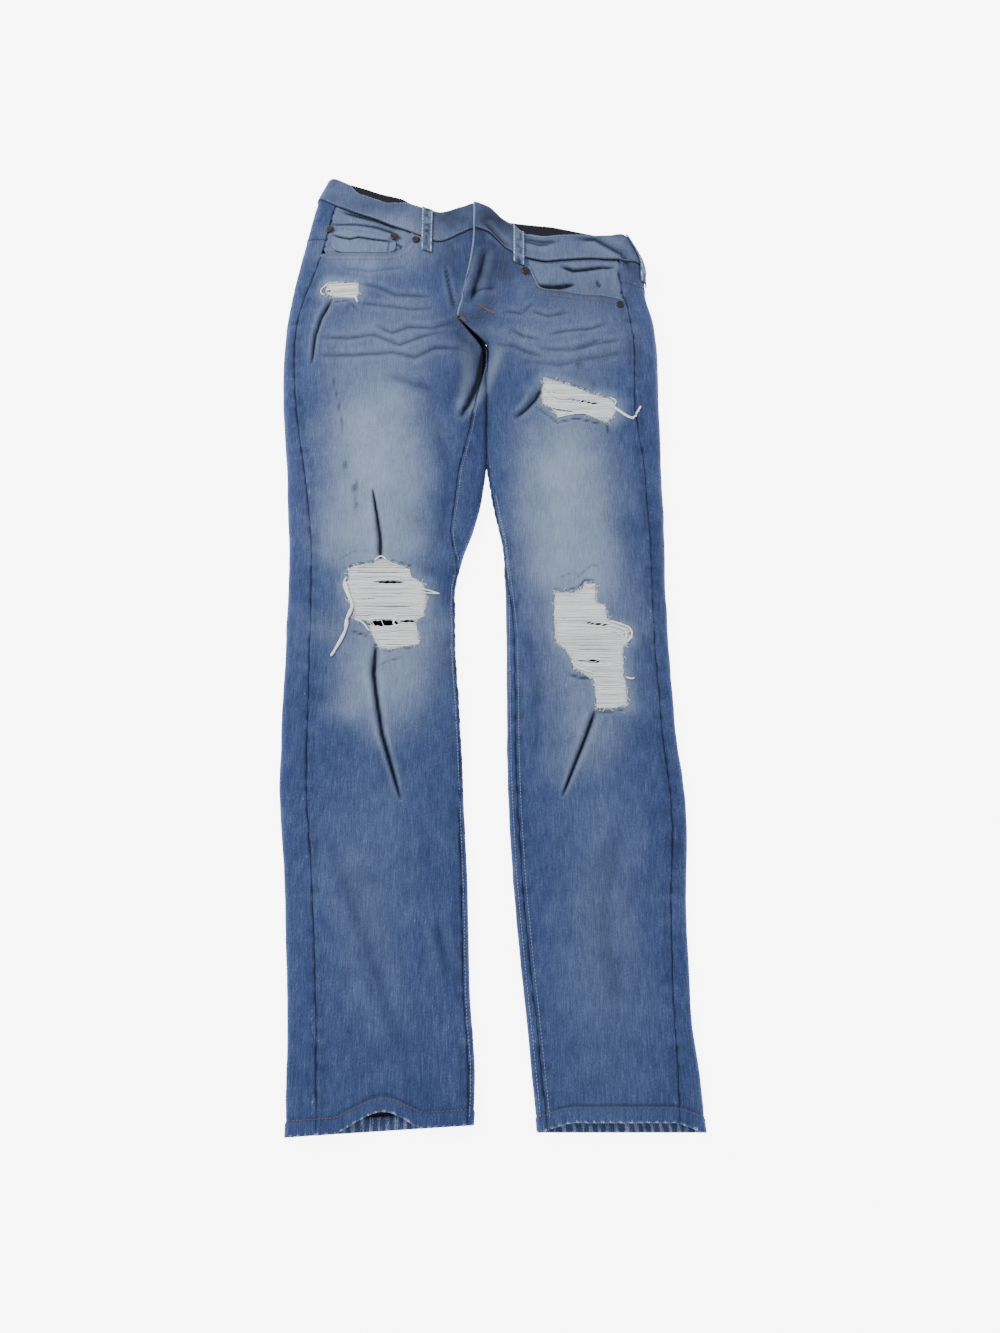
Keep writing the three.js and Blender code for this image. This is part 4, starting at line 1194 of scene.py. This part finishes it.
def stitchPiece(name, rowsOf, material, size=1.0):
    points, faces = [], []
    sides, rings = stitch["sides"], stitch["rings"]
    ends = np.linspace(-0.5, 0.5, rings)
    girth = np.array([0.45, 1.0, 1.0, 0.45])
    for spots, normals in rowsOf:
        ahead = np.gradient(spots, axis=0)
        ahead /= np.maximum(np.linalg.norm(ahead, axis=1, keepdims=True), 1e-9)
        sideways = np.cross(ahead, normals)
        sideways /= np.maximum(np.linalg.norm(sideways, axis=1, keepdims=True), 1e-9)
        for p, a, s, n in zip(spots, ahead, sideways, normals):
            start = len(points)
            for e, g in zip(ends, girth):
                for k in range(sides):
                    turn = 2 * math.pi * k / sides
                    bulge = s * math.cos(turn) + n * math.sin(turn) * 0.8
                    points.append(p + a * e * stitch["long"] * size + bulge * stitch["radius"] * g * size)
            for r in range(rings - 1):
                for k in range(sides):
                    i, j = start + r * sides + k, start + r * sides + (k + 1) % sides
                    faces.append((i, j, j + sides, i + sides))
            faces.append(tuple(start + k for k in reversed(range(sides))))
            faces.append(tuple(start + (rings - 1) * sides + k for k in range(sides)))
    mesh = bpy.data.meshes.new(name)
    mesh.from_pydata((np.array(points) / 1000).tolist(), [], faces)
    mesh.materials.append(finishes[material])
    mesh.polygons.foreach_set("use_smooth", [True] * len(mesh.polygons))
    mesh.update()
    piece = bpy.data.objects.new(name, mesh)
    bpy.context.scene.collection.objects.link(piece)
    return piece


def seamLine(side, ys, inset, outer=True):  # plan line at a distance in from a side fold
    if side == "right":
        x = rightOuter(ys) + inset if outer else rightInner(ys) - inset
    else:
        x = leftOuter(ys) - inset if outer else leftInner(ys) + inset
    return np.stack([x, ys], axis=-1)


def hemLine(side, rise):
    share = np.linspace(0.02, 0.98, 60)
    ring = legRing(side, [rise / 833])
    q = share[None, :] * halfRound(ring)
    return ringPoint(ring, q)[0][:, :2]


def bandLine(v, first, last, over=True):
    ring = hipRing([v])
    q = np.linspace(overTop(ring, first)[0, 0], overTop(ring, last)[0, 0], 60)[None, :]
    return ringPoint(ring, q if over else -q)[0][:, :2]


legYs = np.linspace(-528, 95, 200)
stitchPieces = [
    stitchPiece("inseamStitchLeft", [sewRow(seamLine("left", legYs, 4.2, False)),
                                     sewRow(seamLine("left", legYs, leftInseam(legYs) + 3.2, False))],
                                     "pale"),
    stitchPiece("inseamStitchRight", [sewRow(seamLine("right", np.linspace(-528, 0, 150), 4.2, False)),
                                      sewRow(seamLine("right", np.linspace(20, 270, 90),
                                                      rightInseam(np.linspace(20, 270, 90)) - 3,
                                                      False))], "pale"),
    stitchPiece("hemStitch", [sewRow(hemLine("right", 12)), sewRow(hemLine("left", 12))], "tan"),
    stitchPiece("bandStitch", [sewRow(bandLine(1.07, -176, -6)), sewRow(bandLine(1.93, -170, -4)),
                               sewRow(bandLine(1.07, 6, 184)), sewRow(bandLine(1.93, 6, 178))], "pale"),
    stitchPiece("mouthStitch", [sewRow(roundedLine(mouthRight), aside=-2.6),
                                sewRow(roundedLine(mouthRight), aside=-8.6),
                                sewRow(roundedLine(mouthLeft), aside=-2.6),
                                sewRow(roundedLine(mouthLeft), aside=-8.2)],
                "tan"),
]
tacks = {  # from, to: dense short stitches side by side
    "fly": ((-19, 324), (-5, 317)), "flyEnd": ((8, 339), (27, 329)),
}
tackPaths = []
for start, end in tacks.values():
    start, end = np.array(start, float), np.array(end, float)
    along = (end - start) / np.linalg.norm(end - start)
    across = np.array([-along[1], along[0]])
    steps = int(np.linalg.norm(end - start) / 0.8)
    for k in range(steps + 1):
        middle = start + (end - start) * k / steps
        lean = along * 0.4 * (1 if k % 2 else -1)
        line = np.array([middle - across * 1.7 - lean, middle, middle + across * 1.7 + lean])
        spots, normals = dropOn(line[:, 0], line[:, 1])
        tackPaths.append(spots + normals * 0.35)
tackPiece = strands("flyTacks", tackPaths, [0.42] * len(tackPaths), "tan")
stitchPieces.append(tackPiece)
flyCurve = roundedLine([(46, 455), (42, 424), (37, 391), (35, 366), (30, 343), (12, 326), (-10, 319)])
stitchPieces.append(stitchPiece("flyStitch", [sewRow(flyCurve), sewRow(flyCurve, aside=-6.0)], "tan"))
nicks = [(-136, 130), (-124, 101), (-121, 80), (121, 257), (151, 267)]
nickPaths = []
for x, y in nicks:
    for k in range(4):
        line = np.array([(x - 2.4, y - 3 + 2 * k), (x, y - 2.6 + 2 * k), (x + 2.4, y - 3.2 + 2 * k)])
        spots, normals = dropOn(line[:, 0], line[:, 1])
        nickPaths.append(spots + normals * 0.3)
nickPiece = strands("nickThreads", nickPaths, [0.2] * len(nickPaths), "pale")
stitchPieces.append(nickPiece)
print("stitches sewn")

# Loose weft across the rips, white and a little slack
weft = {"gap": 1.05, "radius": 0.56, "hold": 3.0, "sink": 0.7}
slits = {  # from, to, half height
    "kneeRight": [((-100, -10), (-67, -10), 2.6), ((-103, -57), (-72, -55), 4.4),
                  ((-72, -54), (-47, -53), 2.2),
                  ((-118, -30), (-96, -28), 0.7), ((-92, -38), (-60, -37), 0.6),
                  ((-84, -24), (-62, -22), 0.5)],
    "kneeLeft": [((119, -56), (145, -59), 1.7), ((110, -98), (145, -100), 1.0),
                 ((122, -97), (133, -98), 1.6),
                 ((92, -50), (104, -52), 0.5), ((134, -132), (154, -131), 0.4)],
    "hipRight": [((-171, 364), (-163, 364), 1.6)],
    "thighLeft": [((108, 211), (146, 205), 1.7), ((86, 200), (114, 195), 1.8),
                  ((86, 221), (95, 220), 0.9)],
}


def spans(outline, y):
    xs = []
    for (x0, y0), (x1, y1) in zip(outline, outline[1:] + outline[:1]):
        if (y0 > y) != (y1 > y):
            xs.append(x0 + (y - y0) * (x1 - x0) / (y1 - y0))
    return min(xs), max(xs)


def parted(x, y, key):  # yarns move aside round each slit
    for (xa, ya), (xb, yb), wide in slits[key]:
        t = np.clip((x - xa) / (xb - xa), 0, 1)
        away = y - (ya + (yb - ya) * t)
        gap = wide * np.sin(math.pi * t) ** 0.45 * (0.8 + 0.2 * np.sin(x * 0.9 + ya))
        reach = 4 * wide + 0.5
        pushed = np.sign(away) * (gap + np.abs(away) * (reach - gap) / reach)
        y = np.where(np.abs(away) < reach, y + pushed - away, y)
    return y


def weftPiece(name, node, key):
    outline = rips[key]
    ys = [p[1] for p in outline]
    paths, radii = [], []
    for layer, drop in ((0, weft["sink"]), (1, weft["sink"] + 0.9)):
        y = min(ys) + 0.6 + layer * 0.5
        while y < max(ys) - 0.4:
            y += weft["gap"] * rng.uniform(0.85, 1.15)
            if y >= max(ys) - 0.2:
                continue
            first, last = spans(outline, y)
            xs = np.linspace(first - weft["hold"], last + weft["hold"],
                             max(8, int((last - first) / 2.6)))
            sag = np.sin(np.linspace(0, math.pi, len(xs)))
            wave = rng.normal(0, 0.14, len(xs)).cumsum() * 0.5
            wave -= np.linspace(wave[0], wave[-1], len(xs))
            hanging = np.full(len(xs), y) + wave - 0.8 * sag * rng.uniform(0, 1)
            spots, normals = dropOn(xs, parted(xs, hanging, key))
            depth = drop + sag * rng.uniform(-0.7, 1.1)
            paths.append(spots - normals * depth[:, None])
            radii.append(weft["radius"] * rng.uniform(0.7, 1.2))
    piece = strands(name, paths, radii, "white")
    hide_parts(node)
    return piece


def fringePiece(name, key, count, longest):  # short frayed ends round a rip
    line = np.array(cutOutlines[key])
    middle = line.mean(axis=0)
    paths, radii = [], []
    for _ in range(count):
        k = rng.integers(len(line))
        p = line[k] + rng.normal(0, 0.7, 2)
        along = line[(k + 1) % len(line)] - line[k - 1]
        along /= np.linalg.norm(along)
        outward = np.array([along[1], -along[0]])
        if np.dot(outward, p - middle) < 0:
            outward = -outward
        way = outward * rng.uniform(-1.0, 0.45) + along * rng.normal(0, 0.7)
        way /= np.linalg.norm(way)
        length = rng.uniform(0.25, 1.0) * longest
        bend = np.array([-way[1], way[0]]) * rng.normal(0, 0.3)
        t = np.linspace(0, 1, 5)[:, None]
        flat = p + way * t * length + bend * t * t * length
        spots, normals = dropOn(flat[:, 0], flat[:, 1])
        rise = 0.15 + np.sin(t * math.pi * 0.8) * rng.uniform(0.1, 0.9)
        paths.append(spots + normals * rise)
        radii.append(rng.uniform(0.16, 0.3))
    piece = strands(name, paths, radii, "white", sides=4)
    return piece


tails = {  # loose ends: points, thickness
    "kneeRight": [([(-128, -10), (-125, -24), (-119, -36), (-121, -44)], 1.5),
                  ([(-119, -36), (-121, -46), (-126, -54), (-125, -64), (-129, -76), (-139, -94)], 1.3),
                  ([(-121, -40), (-125, -50), (-123, -60), (-130, -74), (-137, -92)], 1.1),
                  ([(-127, -4), (-131, -12), (-126, -24), (-122, -32)], 0.9),
                  ([(-50, -17), (-41, -19), (-30, -22)], 0.9),
                  ([(-50, -21), (-42, -22), (-32, -22)], 0.8),
                  ([(-99, 14), (-95, 20), (-90, 20), (-86, 14)], 0.9),
                  ([(-74, -52), (-78, -56), (-72, -62)], 1.0),
                  ([(-117, -52), (-108, -56), (-101, -66)], 0.9)],
    "thighLeft": [([(154, 204), (162, 199), (171, 192), (180, 187), (185, 196), (189, 205)], 1.1),
                  ([(156, 202), (164, 196), (172, 190), (181, 187)], 0.9),
                  ([(155, 213), (162, 210), (160, 203)], 0.7),
                  ([(84, 226), (94, 214), (104, 210), (112, 214)], 0.8),
                  ([(82, 206), (92, 199), (108, 196)], 0.8),
                  ([(96, 187), (112, 191), (128, 192), (140, 186)], 0.8)],
    "kneeLeft": [([(146, -55), (157, -58), (167, -62), (169, -70), (163, -78)], 1.0),
                 ([(146, -60), (156, -62), (163, -66), (162, -74)], 0.9),
                 ([(148, -64), (158, -70), (164, -76)], 0.8),
                 ([(150, -70), (160, -68), (167, -66)], 0.7),
                 ([(160, -116), (165, -118), (169, -117)], 0.9),
                 ([(106, -98), (110, -106), (120, -110), (128, -112)], 0.9),
                 ([(121, -12), (124, -18), (131, -14)], 0.7)],
    "hipRight": [([(-168, 372), (-174, 368), (-176, 361), (-170, 357)], 0.7),
                 ([(-167, 374), (-172, 370)], 0.6),
                 ([(-136, 354), (-133, 349), (-131, 344)], 1.2)],
}
ripPieces = []
for key, node, count, longest in (("hipRight", "rip_yarns_hip_right", 110, 4),
                                  ("thighLeft", "rip_yarns_thigh_left", 220, 5),
                                  ("kneeRight", "rip_yarns_knee_right", 320, 5),
                                  ("kneeLeft", "rip_yarns_knee_left", 340, 5)):
    ripPieces.append(weftPiece("weft" + key[0].upper() + key[1:], node, key))
    ripPieces.append(fringePiece("fringe" + key[0].upper() + key[1:], key, count, longest))
    paths = []
    for line, thick in tails[key]:
        line = roundedLine(line, 1.6)
        spots, normals = dropOn(line[:, 0], line[:, 1])
        paths.append(spots + normals * (0.5 + 0.5 * thick))
    girths = [thick for line, thick in tails[key]]
    ripPieces.append(strands("tails" + key[0].upper() + key[1:], paths, girths, "white", sides=7,
                             flat=0.7))
print("rips frayed")

# Back patch pockets, flat under the seat
seatPocket = [(-72, 70), (72, 70), (68, -62), (0, -84), (-68, -62)]
seatPockets = []
for node, place, turn in (("back_pocket_right", (-112, 322), -6),
                          ("back_pocket_left", (122, 292), -10)):
    c, s = math.cos(math.radians(turn)), math.sin(math.radians(turn))
    outline = [(place[0] + c * a - s * b, place[1] + s * a + c * b) for a, b in seatPocket]
    edge = [tuple(p) for p in evenly(np.array(outline + outline[:1]), 3)[:-1]]
    xs, ys = [p[0] for p in edge], [p[1] for p in edge]
    gx, gy = np.meshgrid(np.arange(max(xs) + 3, min(xs) - 3, -2.5),
                         np.arange(min(ys) - 3, max(ys) + 3, 2.5))
    far = nearOutline(gx, gy, edge)
    gz = 0.05 + 0.9 * np.exp(-(far / 0.9) ** 2) + 0.25 * np.exp(-((far - 5) / 1.2) ** 2)
    wear = 0.45 * np.exp(-((far - 1.5) / 1.5) ** 2) * (0.5 + 0.5 * np.sin((gx + gy) / 1.4))
    pale = 0.5 * np.exp(-(np.hypot(gx - place[0], gy - place[1]) / 60) ** 2.4)
    piece = clothPiece(node.title().replace("_", ""), np.stack([gx, gy, gz], axis=-1),
                       dict(fade=pale, dark=0.5 * np.exp(-((far - 5) / 1) ** 2), wear=wear),
                       keep=edge, thickness=1.5)
    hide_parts(node)
    seatPockets.append(piece)
print("back pockets sewn")

# Rivets keep their solids and take a dark patina
for node in ("rivet_coin_outer", "rivet_coin_inner", "rivet_pocket_right", "rivet_pocket_left",
             "rivet_side_left"):
    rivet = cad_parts[node]
    rivet.data.materials.clear()
    rivet.data.materials.append(finishes["rivet"])

for piece in (list(fronts.values()) + list(backs.values()) + [waistband] + loopPieces + facings
              + [coin] + rolls
              + stitchPieces + ripPieces + seatPockets):
    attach(piece, "root")

# Given flat sizes: width and length, and the cloth's area where it isn't a rectangle
cuts = {
    "frontRight": ((0.228, 1.030), 0.168, fronts["right"], "backRight"),
    "frontLeft": ((0.222, 1.020), 0.158, fronts["left"], "backLeft"),
    "backRight": ((0.292, 1.030), 0.230, backs["right"], "floor"),
    "backLeft": ((0.276, 0.970), 0.200, backs["left"], "floor"),
}

# Floor, light and camera
bpy.ops.mesh.primitive_plane_add(size=12, location=(0, 0, 0))
floor = bpy.context.object
floor.name = "floor"
paper = Finish("palePaper")
pale = paper.mix(paper.noise(3.0, 2.0), (0.86, 0.84, 0.875), (0.88, 0.86, 0.895))
paper.set(Base_Color=pale, Roughness=0.9, Emission_Color=pale, Emission_Strength=8.0)
floor.data.materials.append(paper.material)
floor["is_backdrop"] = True

world = bpy.data.worlds.new("studio")
world.use_nodes = True
world.node_tree.nodes["Background"].inputs["Color"].default_value = (0.97, 0.97, 1.0, 1)
world.node_tree.nodes["Background"].inputs["Strength"].default_value = 1.0
bpy.context.scene.world = world
for name, place, size, power in (("key", (-1.5, 0.9, 1.7), 1.2, 60),
                                 ("fill", (1.6, -0.9, 2.0), 2.0, 16)):
    light = bpy.data.lights.new(name, "AREA")
    light.size, light.energy = size, power
    lamp = bpy.data.objects.new(name, light)
    lamp.location = place
    lamp.rotation_euler = (Vector((0, 0, 0)) - Vector(place)).to_track_quat("-Z", "Y").to_euler()
    bpy.context.scene.collection.objects.link(lamp)

camera = bpy.data.objects.new("camera", bpy.data.cameras.new("camera"))
camera.data.lens = look["lens"]
camera.location = look["stand"]
sight = Vector(look["aim"]) - Vector(look["stand"])
camera.rotation_euler = sight.to_track_quat("-Z", "Y").to_euler()
bpy.context.scene.collection.objects.link(camera)
bpy.context.scene.camera = camera

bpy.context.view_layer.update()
meshes = [piece.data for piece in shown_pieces() if piece.type == "MESH"]
for mesh in meshes:
    mesh.calc_loop_triangles()
print("triangles", sum(len(mesh.loop_triangles) for mesh in meshes))
